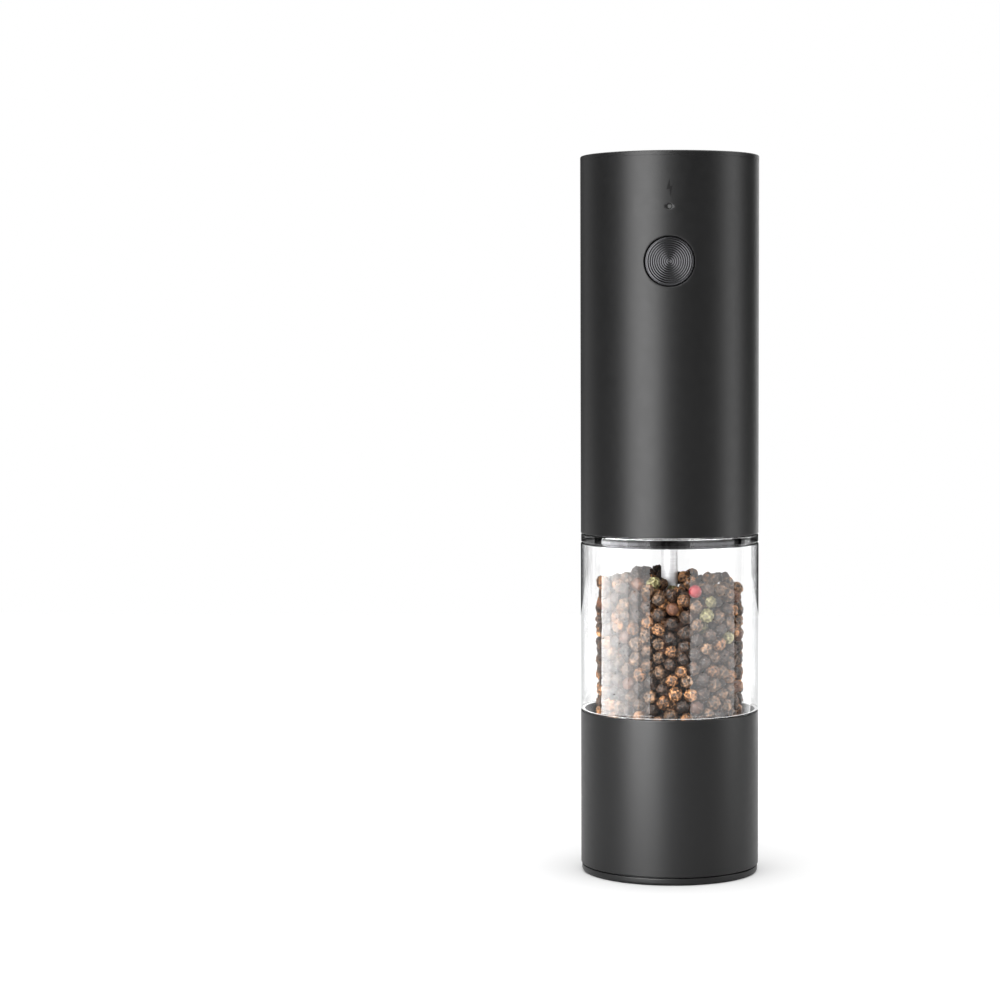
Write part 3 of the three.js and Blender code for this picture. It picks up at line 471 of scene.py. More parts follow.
def pierced_sleeve(name, radius, inside, low, high, holes, material):
    """A thin tube with a rounded lip at each end and holes whose rims are chamfered."""
    rim, edge = sizes().hole_rim, sizes().sleeve_edge
    side_steps = 20  # facets along each side of a patch
    between = 50  # facets from the front patches round to the back ones
    sets = {True: [h for h in holes if h.front], False: [h for h in holes if not h.front]}
    patch_x = {side: max([h.patch_w for h in group], default=0.01) for side, group in sets.items()}
    z_lines = {low + edge, high - edge}
    for hole in holes:
        z_lines.update(hole.z + hole.patch_h * (2 * k / side_steps - 1) for k in range(side_steps + 1))
    rows = sorted(z_lines)
    rows = [z for n, z in enumerate(rows) if n == 0 or z - rows[n - 1] > 1e-7]
    points, faces = [], []

    def columns(r):
        """Angles about the axis, with even steps in x across the patches."""
        front, back = (
            [centre + math.asin(patch_x[side] * (2 * k / side_steps - 1) / r) for k in range(side_steps + 1)]
            for side, centre in ((True, -math.pi / 2), (False, math.pi / 2))
        )
        right = [front[-1] + (back[0] - front[-1]) * k / between for k in range(1, between)]
        left = [back[-1] + (front[0] + 2 * math.pi - back[-1]) * k / between for k in range(1, between)]
        return front + right + back + left

    def wall(r):
        """The grid of one wall, as [row][column] point numbers."""
        angles = columns(r)
        grid = []
        for z in rows:
            grid.append(list(range(len(points), len(points) + len(angles))))
            points.extend((r * math.cos(a), r * math.sin(a), z) for a in angles)
        return grid

    outer, inner = wall(radius), wall(inside)
    count = len(outer[0])
    back_start = side_steps + between

    def in_patch(row, column):
        for hole in holes:
            first = 0 if hole.front else back_start
            mid = (rows[row] + rows[row + 1]) / 2
            if first <= column < first + side_steps and abs(mid - hole.z) < hole.patch_h:
                return True
        return False

    for row in range(len(rows) - 1):
        for column in range(count):
            nxt = (column + 1) % count
            if in_patch(row, column):
                continue
            faces.append([outer[row][column], outer[row][nxt], outer[row + 1][nxt], outer[row + 1][column]])
            faces.append([inner[row][column], inner[row + 1][column], inner[row + 1][nxt], inner[row][nxt]])
    # The lower end is well rounded outside; the upper one meets the top cap, so it is nearly sharp.
    for end, grid_row, sign, roll in ((low, 0, -1, edge), (high, -1, 1, 0.1 * edge)):
        lip = rounded([(radius, end - sign * edge), (radius, end, roll), (inside, end, edge * 0.6),
                       (inside, end - sign * edge)])[1:-1]
        previous = outer[grid_row]
        angle_out, angle_in = columns(radius), columns(inside)
        for r, z in lip:
            share = (radius - r) / (radius - inside)
            angles = [a + (b - a) * share for a, b in zip(angle_out, angle_in)]
            current = list(range(len(points), len(points) + count))
            points.extend((r * math.cos(a), r * math.sin(a), z) for a in angles)
            faces.extend([[previous[c], previous[(c + 1) % count], current[(c + 1) % count], current[c]]
                          for c in range(count)])
            previous = current
        last = inner[grid_row]
        faces.extend([[previous[c], previous[(c + 1) % count], last[(c + 1) % count], last[c]]
                      for c in range(count)])

    for hole in holes:
        first = 0 if hole.front else back_start
        lines = [n for n in range(len(rows)) if abs(rows[n] - hole.z) < hole.patch_h + 1e-7]

        def border(grid):
            """Point numbers round the patch, counter-clockwise as seen from outside."""
            loop = [grid[lines[0]][first + k] for k in range(side_steps)]
            loop += [grid[n][first + side_steps] for n in lines[:-1]]
            loop += [grid[lines[-1]][first + side_steps - k] for k in range(side_steps)]
            loop += [grid[n][first] for n in reversed(lines[1:])]
            return loop

        def on_wall(x, z, r, depth=0.0):
            y = -math.sqrt(r * r - x * x) + depth
            return (x, y, z) if hole.front else (x, -y, z)

        edge_loops = {}
        for key, grid, r in (("out", outer, radius), ("in", inner, inside)):
            previous = border(grid)
            corners = [points[p] for p in previous]
            grow = rim if key == "out" else 0.0
            for t in (0.3, 0.55, 0.75, 0.9, 1.0):
                current = []
                for x, _, z in corners:
                    ex, ez = hole.edge(x, z - hole.z, grow)
                    current.append(len(points))
                    px, pz = x + (ex - x) * t, z - hole.z + (ez - z + hole.z) * t
                    points.append(on_wall(px, hole.z + pz, r))
                faces.extend(ring_faces(previous, current))
                previous = current
            edge_loops[key] = (previous, corners)
        previous, corners = edge_loops["out"]
        for grow, depth in ((rim * 0.4, rim * 0.35), (0.0, rim * 0.9)):
            current = []
            for x, _, z in corners:
                ex, ez = hole.edge(x, z - hole.z, grow)
                current.append(len(points))
                points.append(on_wall(ex, hole.z + ez, radius, depth))
            faces.extend(ring_faces(previous, current))
            previous = current
        faces.extend(ring_faces(previous, edge_loops["in"][0]))

    made = add_mesh(name, points, faces, material, 50.0)
    tidy_faces(made.data)
    return made


def ring_faces(first, second):
    """Quads between two loops of the same length."""
    count = len(first)
    return [[first[i], first[(i + 1) % count], second[(i + 1) % count], second[i]] for i in range(count)]


def tidy_faces(mesh):
    """Makes every face of a closed mesh point outwards and merges doubled points."""
    work = bmesh.new()
    work.from_mesh(mesh)
    bmesh.ops.remove_doubles(work, verts=work.verts, dist=1e-7)
    bmesh.ops.recalc_face_normals(work, faces=work.faces)
    work.to_mesh(mesh)
    work.free()
    mesh.update()


# ---------------------------------------------------------------- operators: shells


class MILL_OT_head_shell(bpy.types.Operator):
    """Builds the head's sleeve, with its button, lamp and charging holes, and the top cap"""

    bl_idname = "mill.head_shell"
    bl_label = "Head shell"

    def execute(self, context):
        s = sizes()
        lacquer = lacquer_finish()
        low, high, radius = node_span("head_sleeve")
        inside = radius - s.sleeve_wall
        button_low, button_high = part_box("button_cap")
        lamp_low, lamp_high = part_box("light_pipe")
        socket_low, socket_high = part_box("charging_socket")
        button_z = (button_low.z + button_high.z) / 2
        lamp_z = (lamp_low.z + lamp_high.z) / 2
        socket_z = (socket_low.z + socket_high.z) / 2
        button_hole = BUTTON_RADIUS + s.button_gap
        patch = button_hole + 2.4 * MM
        lamp_hole = 0.7 * MM
        socket_gap = 0.35 * MM
        socket_half = (socket_high.z - socket_low.z) / 2
        holes = [
            Hole(button_z, button_hole, button_hole, patch, patch),
            Hole(lamp_z, lamp_hole, lamp_hole, patch, 2.6 * MM),
            Hole(socket_z, socket_high.x + socket_gap, socket_half + socket_gap, 7.5 * MM, 3.4 * MM,
                 front=False),
        ]
        seam = high + SEAT
        top = seam - 0.02 * MM
        sleeve = pierced_sleeve("head_sleeve_shell", radius - s.skin, inside, low, top, holes, lacquer)
        stand_for(sleeve, "black_metal", "head", "head_sleeve")

        low, high, radius = node_span("top_cap")
        spigot = inside - SEAT
        radius -= s.skin
        outline = rounded([
            (0, seam), (spigot - CAP_WALL, seam), (spigot - CAP_WALL, low, 0.2 * MM), (spigot, low, 0.3 * MM),
            (spigot, seam), (radius, seam), (radius, high, s.top_edge), (0, high),
        ], 6)
        cap = turned("top_cap_shell", outline, lacquer)
        stand_for(cap, "black_metal", "head", "top_cap")
        return {"FINISHED"}


class MILL_OT_lower_shell(bpy.types.Operator):
    """Builds the lower sleeve and the base cap"""

    bl_idname = "mill.lower_shell"
    bl_label = "Lower shell"

    def execute(self, context):
        s = sizes()
        lacquer = bpy.data.materials["black_lacquer"]
        low, high, radius = node_span("lower_sleeve")
        inside = radius - s.sleeve_wall
        outline = rounded([
            (radius, low, 0.8 * MM), (radius, high, s.sleeve_edge), (inside, high, 0.2 * MM),
            (inside, low, 0.2 * MM),
        ], 5)
        sleeve = turned("lower_sleeve_shell", outline, lacquer)
        stand_for(sleeve, "black_metal", "mill_body", "lower_sleeve")

        low, high, radius = node_span("base_cap")
        rim_top = node_span("lower_sleeve")[0] - SEAT
        spigot = inside - SEAT
        wall = spigot - CAP_WALL
        outline = rounded([
            (0, low), (radius - 4 * MM, low), (radius, low, s.base_edge), (radius, rim_top, 0.25 * MM),
            (spigot, rim_top), (spigot, high, 0.4 * MM), (wall, high, 0.3 * MM), (wall, rim_top, 0.8 * MM),
            (0, rim_top),
        ], 6)
        cap = turned("base_cap_shell", outline, lacquer)
        stand_for(cap, "black_metal", "base_cover", "base_cap")
        return {"FINISHED"}


# ---------------------------------------------------------------- operators: jar and peppercorns


class MILL_OT_jar(bpy.types.Operator):
    """Builds the clear jar with its spigot, barrel, groove, rim and neck"""

    bl_idname = "mill.jar"
    bl_label = "Jar"

    def execute(self, context):
        s = sizes()
        low, high, radius = node_span("jar")
        inside = radius - s.jar_wall
        spigot = radius - s.sleeve_wall - SEAT
        neck = radius - s.neck_inset
        shoulder = node_span("lower_sleeve")[1] + SEAT
        rim_top = node_span("head_sleeve")[0] - SEAT
        rim_low = rim_top - s.rim_height
        groove = rim_low - s.groove_height
        edge = s.jar_edge
        waist = radius - 0.7 * MM
        rim = radius - 0.1 * MM
        outline = rounded([
            (spigot, low, edge), (spigot, shoulder), (radius, shoulder, 1.3 * edge), (radius, groove, edge),
            (waist, groove, 0.1 * MM), (waist, rim_low, 0.1 * MM),
            (rim, rim_low, edge), (rim, rim_top, edge), (neck, rim_top, 0.25 * MM),
            (neck, high, edge), (inside, high, edge), (inside, low, edge),
        ], 5)
        clear = clear_finish(shoulder, groove - 0.3 * MM, rim_top - 0.4 * MM, (radius + inside) / 2)
        jar = turned("clear_jar", outline, clear, 192)
        stand_for(jar, "clear_acrylic", "mill_body", "jar")
        return {"FINISHED"}


# Green and pink peppercorns that can be seen at the wall: azimuth from the front in degrees, height in mm.
GREEN_CORNS = [(-11, 90), (12, 86.9), (30, 81), (37, 78.7), (30, 74.5), (53, 71)]
PINK_CORNS = [(17.5, 87.2)]
PILE_HEIGHT = 93.9 * MM
CORNS_PER_OBJECT = 39  # keeps each object's mesh small


def corn_shape(rng, steps, wrinkle):
    """One peppercorn of radius 1: points, faces, and how far each point stands on a ridge."""
    work = bmesh.new()
    bmesh.ops.create_icosphere(work, subdivisions=steps, radius=1.0)
    points = np.array([v.co[:] for v in work.verts])
    faces = np.array([[v.index for v in f.verts] for f in work.faces])
    work.free()
    ridge = np.zeros(len(points))
    for count, width, share in ((26, 0.10, 0.62), (80, 0.06, 0.38)):  # coarse net of ridges, then a fine one
        seeds = rng.normal(size=(count, 3))
        seeds /= np.linalg.norm(seeds, axis=1)[:, None]
        apart = np.sort(np.arccos(np.clip(points @ seeds.T, -1, 1)), axis=1)
        ridge += share * np.exp(-((apart[:, 1] - apart[:, 0]) / width) ** 2)
    waves = rng.normal(size=(5, 3)) * 2.2
    lumps = np.sin(points @ waves.T + rng.uniform(0, 6, 5)).mean(axis=1)
    reach = 1.0 - wrinkle * (1.0 - ridge) + 0.05 * lumps
    shaped = points * reach[:, None]
    shaped /= np.linalg.norm(shaped, axis=1).max()
    return shaped, faces, ridge


def pile_top(x, y):
    """Height limit of the pile: a low dome that dips in front of the shaft."""
    fall = dip = 6.5 * MM
    dome = PILE_HEIGHT - fall * (np.hypot(x, y) / (22 * MM)) ** 4
    return dome - dip * np.exp(-((x / (6 * MM)) ** 2 + ((y + 10 * MM) / (13 * MM)) ** 2))


def settle(rng, radii, inner, outer, floor):
    """Places the peppercorns in the ring between shaft and jar so that they rest side by side."""
    rounds, falling = 260, 200  # rounds of pushing apart, and how many of them also let the pile sink
    reach, sink = 0.8 * MM, 0.10 * MM
    count = len(radii)
    angle = rng.uniform(0, 2 * math.pi, count)
    away = np.sqrt(rng.uniform(inner ** 2, outer ** 2, count))
    place = np.stack([away * np.cos(angle), away * np.sin(angle), rng.uniform(floor, 91 * MM, count)], axis=1)
    for step in range(rounds):
        if step % 6 == 0:
            gap = np.linalg.norm(place[:, None] - place[None], axis=2) - radii[:, None] - radii[None]
            first, second = np.where(np.triu(gap < reach, 1))
        apart = place[second] - place[first]
        distance = np.linalg.norm(apart, axis=1) + 1e-9
        overlap = np.maximum(0.0, radii[first] + radii[second] - distance)
        push = apart / distance[:, None] * (0.42 * overlap)[:, None]
        np.add.at(place, second, push)
        np.add.at(place, first, -push)
        place[:, 2] -= sink * max(0.0, 1 - step / falling)
        away = np.hypot(place[:, 0], place[:, 1]) + 1e-9
        wanted = np.clip(away, inner + radii, outer - radii)
        place[:, :2] *= (wanted / away)[:, None]
        place[:, 2] = np.clip(place[:, 2], floor + radii, pile_top(place[:, 0], place[:, 1]) - radii)
    return place


class MILL_OT_peppercorns(bpy.types.Operator):
    """Fills the jar with separate peppercorns that lie on each other and on the shaft's spider"""

    bl_idname = "mill.peppercorns"
    bl_label = "Peppercorns"

    def execute(self, context):
        s = sizes()
        rng = np.random.default_rng(s.corn_seed)
        inside = node_span("jar")[2] - s.jar_wall - 0.05 * MM
        floor = node_span("peppercorn_fill")[0]
        shaft = node_span("drive_shaft")[2] + 0.1 * MM
        radii = s.corn_size / 2 * rng.uniform(0.88, 1.12, s.corn_count)
        place = settle(rng, radii, shaft, inside, floor)
        away = np.hypot(place[:, 0], place[:, 1])
        azimuth = np.degrees(np.arctan2(place[:, 0], -place[:, 1]))
        height = place[:, 2]
        mm_per_degree = 0.38
        by_the_wall = away + radii > inside - 3.2 * MM
        near_the_top = height + radii > pile_top(place[:, 0], place[:, 1]) - 6 * MM
        seen = by_the_wall | near_the_top
        kinds = rng.choice(["black", "umber", "brown", "tan"], len(radii), p=[0.38, 0.33, 0.25, 0.04])
        for kind, spots in (("green", GREEN_CORNS), ("pink", PINK_CORNS)):
            for spot, level in spots:
                miss = np.hypot((azimuth - spot) * mm_per_degree, height / MM - level) + 100 * (~seen)
                miss[np.isin(kinds, ["green", "pink"])] = 1e6
                kinds[np.argmin(miss)] = kind
        radii[kinds == "pink"] *= 0.85
        wrinkles = {"black": 0.30, "umber": 0.28, "brown": 0.26, "tan": 0.12, "green": 0.26, "pink": 0.04}
        shapes = {
            kind: [[corn_shape(rng, steps, wrinkle) for _ in range(4)] for steps in (1, 4)]
            for kind, wrinkle in wrinkles.items()
        }
        look = {kind: corn_finish(kind) for kind in wrinkles}
        for kind in wrinkles:
            chosen = np.where(kinds == kind)[0]
            for part, chunk in enumerate(np.array_split(chosen, math.ceil(len(chosen) / CORNS_PER_OBJECT))):
                name = f"{kind}_peppercorns_{part + 1}"
                pile = corn_mesh(name, rng, chunk, place, radii, seen, shapes[kind], look[kind])
                stand_for(pile, "peppercorn", "mill_body", "peppercorn_fill")
        return {"FINISHED"}


def corn_mesh(name, rng, chunk, place, radii, seen, shapes, material):
    """Many peppercorns as one object, each turned its own way."""
    points, faces, marks, total = [], [], [], 0
    for n in chunk:
        shaped, triangles, ridge = shapes[int(seen[n])][rng.integers(4)]
        turn, _ = np.linalg.qr(rng.normal(size=(3, 3)))
        turn[:, 0] *= np.sign(np.linalg.det(turn))
        points.append(shaped @ turn.T * radii[n] + place[n])
        faces.append(triangles + total)
        marks.append(np.stack([ridge, np.full(len(ridge), rng.uniform()), ridge * 0, ridge * 0 + 1], axis=1))
        total += len(shaped)
    made = add_mesh(name, np.concatenate(points), np.concatenate(faces).tolist(), material, 180.0)
    made.modifiers.clear()
    colour_layer = made.data.attributes.new("corn", "FLOAT_COLOR", "POINT")
    colour_layer.data.foreach_set("color", np.concatenate(marks).ravel().astype(np.float32))
    return made


def corn_finish(kind):
    """Dried peppercorn skin: darker in the folds, which is painted shade, and lighter on the ridges, partly
    the skin's own colour and partly a painted highlight.
    """
    # Fold and ridge colour of each kind: the folds' darkness is painted shade, and the ridges' lightness is
    # partly a painted highlight.
    valley, ridge = {
        "black": ((0.003, 0.002, 0.0015), (0.15, 0.080, 0.045)),
        "umber": ((0.005, 0.0028, 0.0018), (0.42, 0.25, 0.14)),
        "brown": ((0.012, 0.005, 0.0025), (0.80, 0.40, 0.17)),
        "tan": ((0.06, 0.022, 0.010), (0.24, 0.105, 0.048)),
        "green": ((0.06, 0.052, 0.012), (0.72, 0.70, 0.38)),
        "pink": ((0.36, 0.02, 0.035), (0.55, 0.06, 0.07)),
    }[kind]
    made = Finish(f"{kind}_pepper_skin", ridge, 0.55)
    marks = made.node("ShaderNodeAttribute", attribute_name="corn").outputs["Color"]
    parts = made.node("ShaderNodeSeparateColor", {"Color": marks}).outputs
    fine = made.noise(1500.0, 4.0)
    speckle = made.between(fine, -0.25, 0.25)
    spread = made.node("ShaderNodeMath", {0: parts["Red"], 1: speckle}, operation="ADD")
    raised = made.node("ShaderNodeMath", {0: spread.outputs[0], 1: 1.7}, operation="POWER", use_clamp=True)
    # painted shade in the folds; the ridge colour is partly a painted highlight
    skin = made.blend(raised.outputs[0], valley, ridge)
    darker = made.blend(parts["Green"], (0.55, 0.50, 0.46), (1.25, 1.2, 1.15))
    mixed = made.node("ShaderNodeMix", data_type="RGBA", blend_type="MULTIPLY")
    mixed.inputs[0].default_value = 1.0
    made.tree.links.new(skin, mixed.inputs[6])
    made.tree.links.new(darker, mixed.inputs[7])
    made.link(mixed.outputs[2], "Base Color")
    made.link(made.between(fine, 0.42, 0.68), "Roughness")
    made.bump(made.noise(3200.0, 3.0), 0.00006, 0.6)
    return made.material


# ---------------------------------------------------------------- operators: button and icon


def facing_front(made, front, centre):
    """Lays a piece turned about Z down, so that its top faces the front: its axis along Y at a height."""
    for vertex in made.data.vertices:
        x, y, z = vertex.co
        vertex.co = (x, front - z, centre + y)
    made.data.update()
    face_outwards(made.data)


class MILL_OT_button(bpy.types.Operator):
    """Builds the push button, with fine spun grooves on its face and a bright edge round it"""

    bl_idname = "mill.button"
    bl_label = "Button"

    def execute(self, context):
        s = sizes()
        low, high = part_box("button_cap")
        front, back, centre = low.y, high.y, (low.z + high.z) / 2
        flange = (high.x - low.x) / 2
        depth = back - front
        flange_depth = 1.4 * MM
        rim = BUTTON_RADIUS - 0.25 * MM
        face = []
        count = int(rim / s.groove_pitch * 12)  # points a groove
        for k in range(count + 1):
            r = rim * k / count
            wave = 0.5 * (1 - math.cos(2 * math.pi * r / s.groove_pitch))
            face.append((r, -s.groove_depth * wave if k < count else 0.0))
        outline = face + rounded([
            (BUTTON_RADIUS, 0.0, 0.14 * MM), (BUTTON_RADIUS, flange_depth - depth),
            (flange, flange_depth - depth, 0.15 * MM), (flange, -depth, 0.15 * MM), (0.0, -depth),
        ], 5)
        button = turned("button_face", outline, spun_finish(), 192, 50.0)
        facing_front(button, front, centre)
        stand_for(button, "spun_metal", "button", "button_cap")
        return {"FINISHED"}


# A lightning bolt, in mm from its centre: x to the right and z up as seen from the front.
BOLT = [(0.0, 2.6), (-0.9, -0.5), (0.02, -0.3), (0.28, -2.6), (0.85, 0.6), (0.2, 0.45)]


class MILL_OT_icon(bpy.types.Operator):
    """Inlays the small charging bolt over the lamp"""

    bl_idname = "mill.icon"
    bl_label = "Charging icon"

    def execute(self, context):
        radius = node_span("head_sleeve")[2] - 0.002 * MM
        depth = 0.2 * MM
        lamp_low, lamp_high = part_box("light_pipe")
        centre = (lamp_low.z + lamp_high.z) / 2 + sizes().icon_rise
        work = bmesh.new()
        corners = [work.verts.new((x * MM, 0.0, z * MM)) for x, z in BOLT]
        bolt = work.faces.new(corners)
        bmesh.ops.triangulate(work, faces=[bolt])
        bmesh.ops.subdivide_edges(work, edges=work.edges, cuts=5, use_grid_fill=True)
        front = list(work.faces)
        sunk = bmesh.ops.extrude_face_region(work, geom=front)["geom"]
        back = {v for v in sunk if isinstance(v, bmesh.types.BMVert)}
        for vertex in work.verts:
            r = radius - (depth if vertex in back else 0.0)
            vertex.co = (vertex.co.x, -math.sqrt(r * r - vertex.co.x ** 2), centre + vertex.co.z)
        bmesh.ops.recalc_face_normals(work, faces=work.faces)
        # Extruding leaves points and faces in another order each time, so they are put in a fixed one.
        points = sorted(tuple(vertex.co) for vertex in work.verts)
        number = {point: n for n, point in enumerate(points)}
        faces = sorted([number[tuple(vertex.co)] for vertex in face.verts] for face in work.faces)
        work.free()
        mesh = bpy.data.meshes.new("charging_icon")
        mesh.from_pydata(points, [], faces)
        made = bpy.data.objects.new("charging_icon", mesh)
        context.scene.collection.objects.link(made)
        ink = Finish("icon_ink", (0.002, 0.002, 0.002), 0.5)
        ink.set("Specular IOR Level", 0.12)
        ink.link(ink.between(ink.noise(2500.0), 0.45, 0.6), "Roughness")
        mesh.materials.append(ink.material)
        stand_for(made, "black_metal", "head")
        return {"FINISHED"}


def spun_finish():
    """Dark spun metal of the button."""
    made = Finish("spun_button", colours().spun, 0.22, 1.0)
    made.link(made.blend(made.between(made.noise(160.0), 0.0, 1.0), scaled(colours().spun, 0.95),
                         scaled(colours().spun, 1.05)), "Base Color")
    made.link(made.between(made.noise(260.0), 0.20, 0.24), "Roughness")
    return made.material


# ---------------------------------------------------------------- operators: shaft, socket and inside


def lofted(name, loops, material, ring=False, sharp=35.0):
    """Joins loops of points, all with the same count, into one closed body: a ring whose last loop meets its
    first, or a solid with a flat face at each end."""
    count = len(loops[0])
    points = [tuple(point) for loop in loops for point in loop]
    rows = [list(range(n * count, (n + 1) * count)) for n in range(len(loops))]
    faces = [face for low, high in zip(rows, rows[1:]) for face in ring_faces(low, high)]
    faces += ring_faces(rows[-1], rows[0]) if ring else [rows[0][::-1], rows[-1]]
    made = add_mesh(name, points, faces, material, sharp)
    tidy_faces(made.data)
    return made


def profile_loop(z, reach, count=144):
    """A loop about the axis at a height, whose radius is a function of the angle."""
    angles = [2 * math.pi * k / count for k in range(count)]
    return [(reach(a) * math.cos(a), reach(a) * math.sin(a), z) for a in angles]


def round_loop(z, radius):
    return profile_loop(z, lambda angle: radius)


class MILL_OT_shaft(bpy.types.Operator):
    """Builds the bright drive shaft with the hexagon that the head's spindle slips over"""

    bl_idname = "mill.shaft"
    bl_label = "Drive shaft"

    def execute(self, context):
        s = sizes()
        low, high, radius = node_span("drive_shaft")
        hexagon_low = high - s.hexagon_height
        flat = s.hexagon_flats / 2
        bevel = 0.3 * MM
        corner = flat / math.cos(math.pi / 6) - 0.06 * MM

        def hexagon(shrink):
            return lambda a: min(flat / math.cos(a % (math.pi / 3) - math.pi / 6), corner) - shrink

        loops = [round_loop(low, radius - bevel), round_loop(low + bevel, radius)]
        loops += [round_loop(hexagon_low - bevel, radius), round_loop(hexagon_low, radius - 0.5 * bevel)]
        loops += [profile_loop(hexagon_low, hexagon(0.0)), profile_loop(high - bevel, hexagon(0.0)),
                  profile_loop(high, hexagon(bevel))]
        steel = machined_finish("bright_steel", (0.92, 0.92, 0.93), 0.5)
        steel.node_tree.nodes["Principled BSDF"].inputs["Metallic"].default_value = 0.25
        shaft = lofted("bright_shaft", loops, steel)
        stand_for(shaft, "steel", "drive", "drive_shaft")
        return {"FINISHED"}


class MILL_OT_socket(bpy.types.Operator):
    """Builds the charging socket: a drawn metal shell with round ends and a contact tongue"""

    bl_idname = "mill.socket"
    bl_label = "Charging socket"

    def execute(self, context):
        low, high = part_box("charging_socket")
        middle = (low.z + high.z) / 2
        half_height = (high.z - low.z) / 2
        wall = 0.35 * MM
        end_steps = 24

        def slot_loop(y, shrink):
            """A loop with round ends, seen along Y."""
            radius = half_height - shrink
            reach = high.x - half_height
            loop = []
            for side in (1, -1):
                for k in range(end_steps + 1):
                    angle = -side * math.pi / 2 + math.pi * k / end_steps
                    x = side * reach + radius * math.cos(angle)
                    loop.append((x, y, middle + radius * math.sin(angle)))
            return loop

        steel = machined_finish("socket_shell", (0.62, 0.62, 0.63), 0.24)
        deep = low.y + 1.0 * MM
        back_edge, mouth_edge = 0.2 * MM, 0.08 * MM
        loops = [
            slot_loop(low.y, back_edge), slot_loop(low.y + back_edge, 0.0),
            slot_loop(high.y - mouth_edge, 0.0), slot_loop(high.y, mouth_edge),
            slot_loop(high.y, wall - 0.05 * MM), slot_loop(high.y - mouth_edge, wall), slot_loop(deep, wall),
        ]
        shell = lofted("socket_shell", loops, steel)
        stand_for(shell, "steel", "head", "charging_socket")
        tip = high.x - 3 * wall
        half_outline = [(-1, -0.5), (-0.98, -1), (0.98, -1), (1, -0.5)]
        outline = half_outline + [(x, -z) for x, z in reversed(half_outline)]
        places = ((deep - 0.3 * MM, 0), (high.y - 1.1 * MM, 0), (high.y - 1.0 * MM, 0.08))
        loops = [[(x * tip * (1 - shrink), y, middle + z * wall * (1 - shrink)) for x, z in outline]
                 for y, shrink in places]
        tongue = lofted("socket_tongue", loops, moulded_finish("tongue_plastic", (0.02, 0.02, 0.02), 0.5))
        stand_for(tongue, "steel", "head", "charging_socket")
        return {"FINISHED"}


class MILL_OT_inside(bpy.types.Operator):
    """Builds the collar and the seal, and gives every carried-over inner piece its finish"""

    bl_idname = "mill.inside"
    bl_label = "Inner pieces"

    def execute(self, context):
        s = sizes()
        black = moulded_finish("black_moulding", colours().moulding, 0.5)
        low, high, radius = node_span("head_collar")
        neck = node_span("jar")[2] - s.neck_inset + SEAT
        plate = node_span("neck_seal")[1] + SEAT
        bore = s.collar_bore
        edge = 0.3 * MM
        collar = turned("collar_ring", rounded([
            (radius, low, edge), (radius, high, edge), (bore, high, edge), (bore, plate, edge),
            (neck, plate, edge), (neck, low, edge),
        ]), black)
        stand_for(collar, "black_plastic", "head", "head_collar")
        low, high, radius = node_span("neck_seal")
        inside = node_span("jar")[2] - s.jar_wall + 0.2 * MM
        rubber = moulded_finish("pale_silicone", (0.75, 0.76, 0.77), 0.6, 1800.0)
        seal = turned("seal_ring", rounded([
            (radius, low, edge), (radius, high, edge), (inside, high, edge), (inside, low, edge),
        ]), rubber)
        stand_for(seal, "silicone", "head", "neck_seal")
        finishes = {
            "black_plastic": black,
            "white_plastic": moulded_finish("white_moulding", (0.74, 0.74, 0.71), 0.45),
            "grey_plastic": moulded_finish("grey_moulding", (0.27, 0.27, 0.28), 0.5),
            "ceramic": ceramic_finish(),
            "ferrite": moulded_finish("sintered_ferrite", (0.05, 0.05, 0.055), 0.7, 5200.0, 0.00003),
            "steel": machined_finish("machined_steel", (0.58, 0.59, 0.60), 0.28),
            "brass": machined_finish("machined_brass", (0.72, 0.50, 0.19), 0.25),
            "copper": machined_finish("copper_bars", (0.72, 0.33, 0.17), 0.3),
            "circuit_board": moulded_finish("solder_mask", (0.02, 0.14, 0.06), 0.35, 900.0, 0.00001),
            "cell_wrap": moulded_finish("shrink_wrap", (0.03, 0.13, 0.45), 0.28, 400.0, 0.00001),
            "lamp": moulded_finish("lamp_lens", (0.02, 0.02, 0.019), 0.6, 400.0, 0.000005),
            "clear_acrylic": moulded_finish("smoky_light_pipe", (0.012, 0.012, 0.012), 0.6, 400.0, 0.000005),
        }
        replaced = {node for piece in bpy.data.objects for node in piece.get("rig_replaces", ())}
        for entry in frame["record"]["subparts"]:
            finish = finishes.get(entry["material_slot"])
            if finish and entry["node"] not in replaced:
                node = frame["nodes"][entry["node"]]
                node.data.materials.clear()
                node.data.materials.append(finish)
        return {"FINISHED"}


# ---------------------------------------------------------------- operators: stage


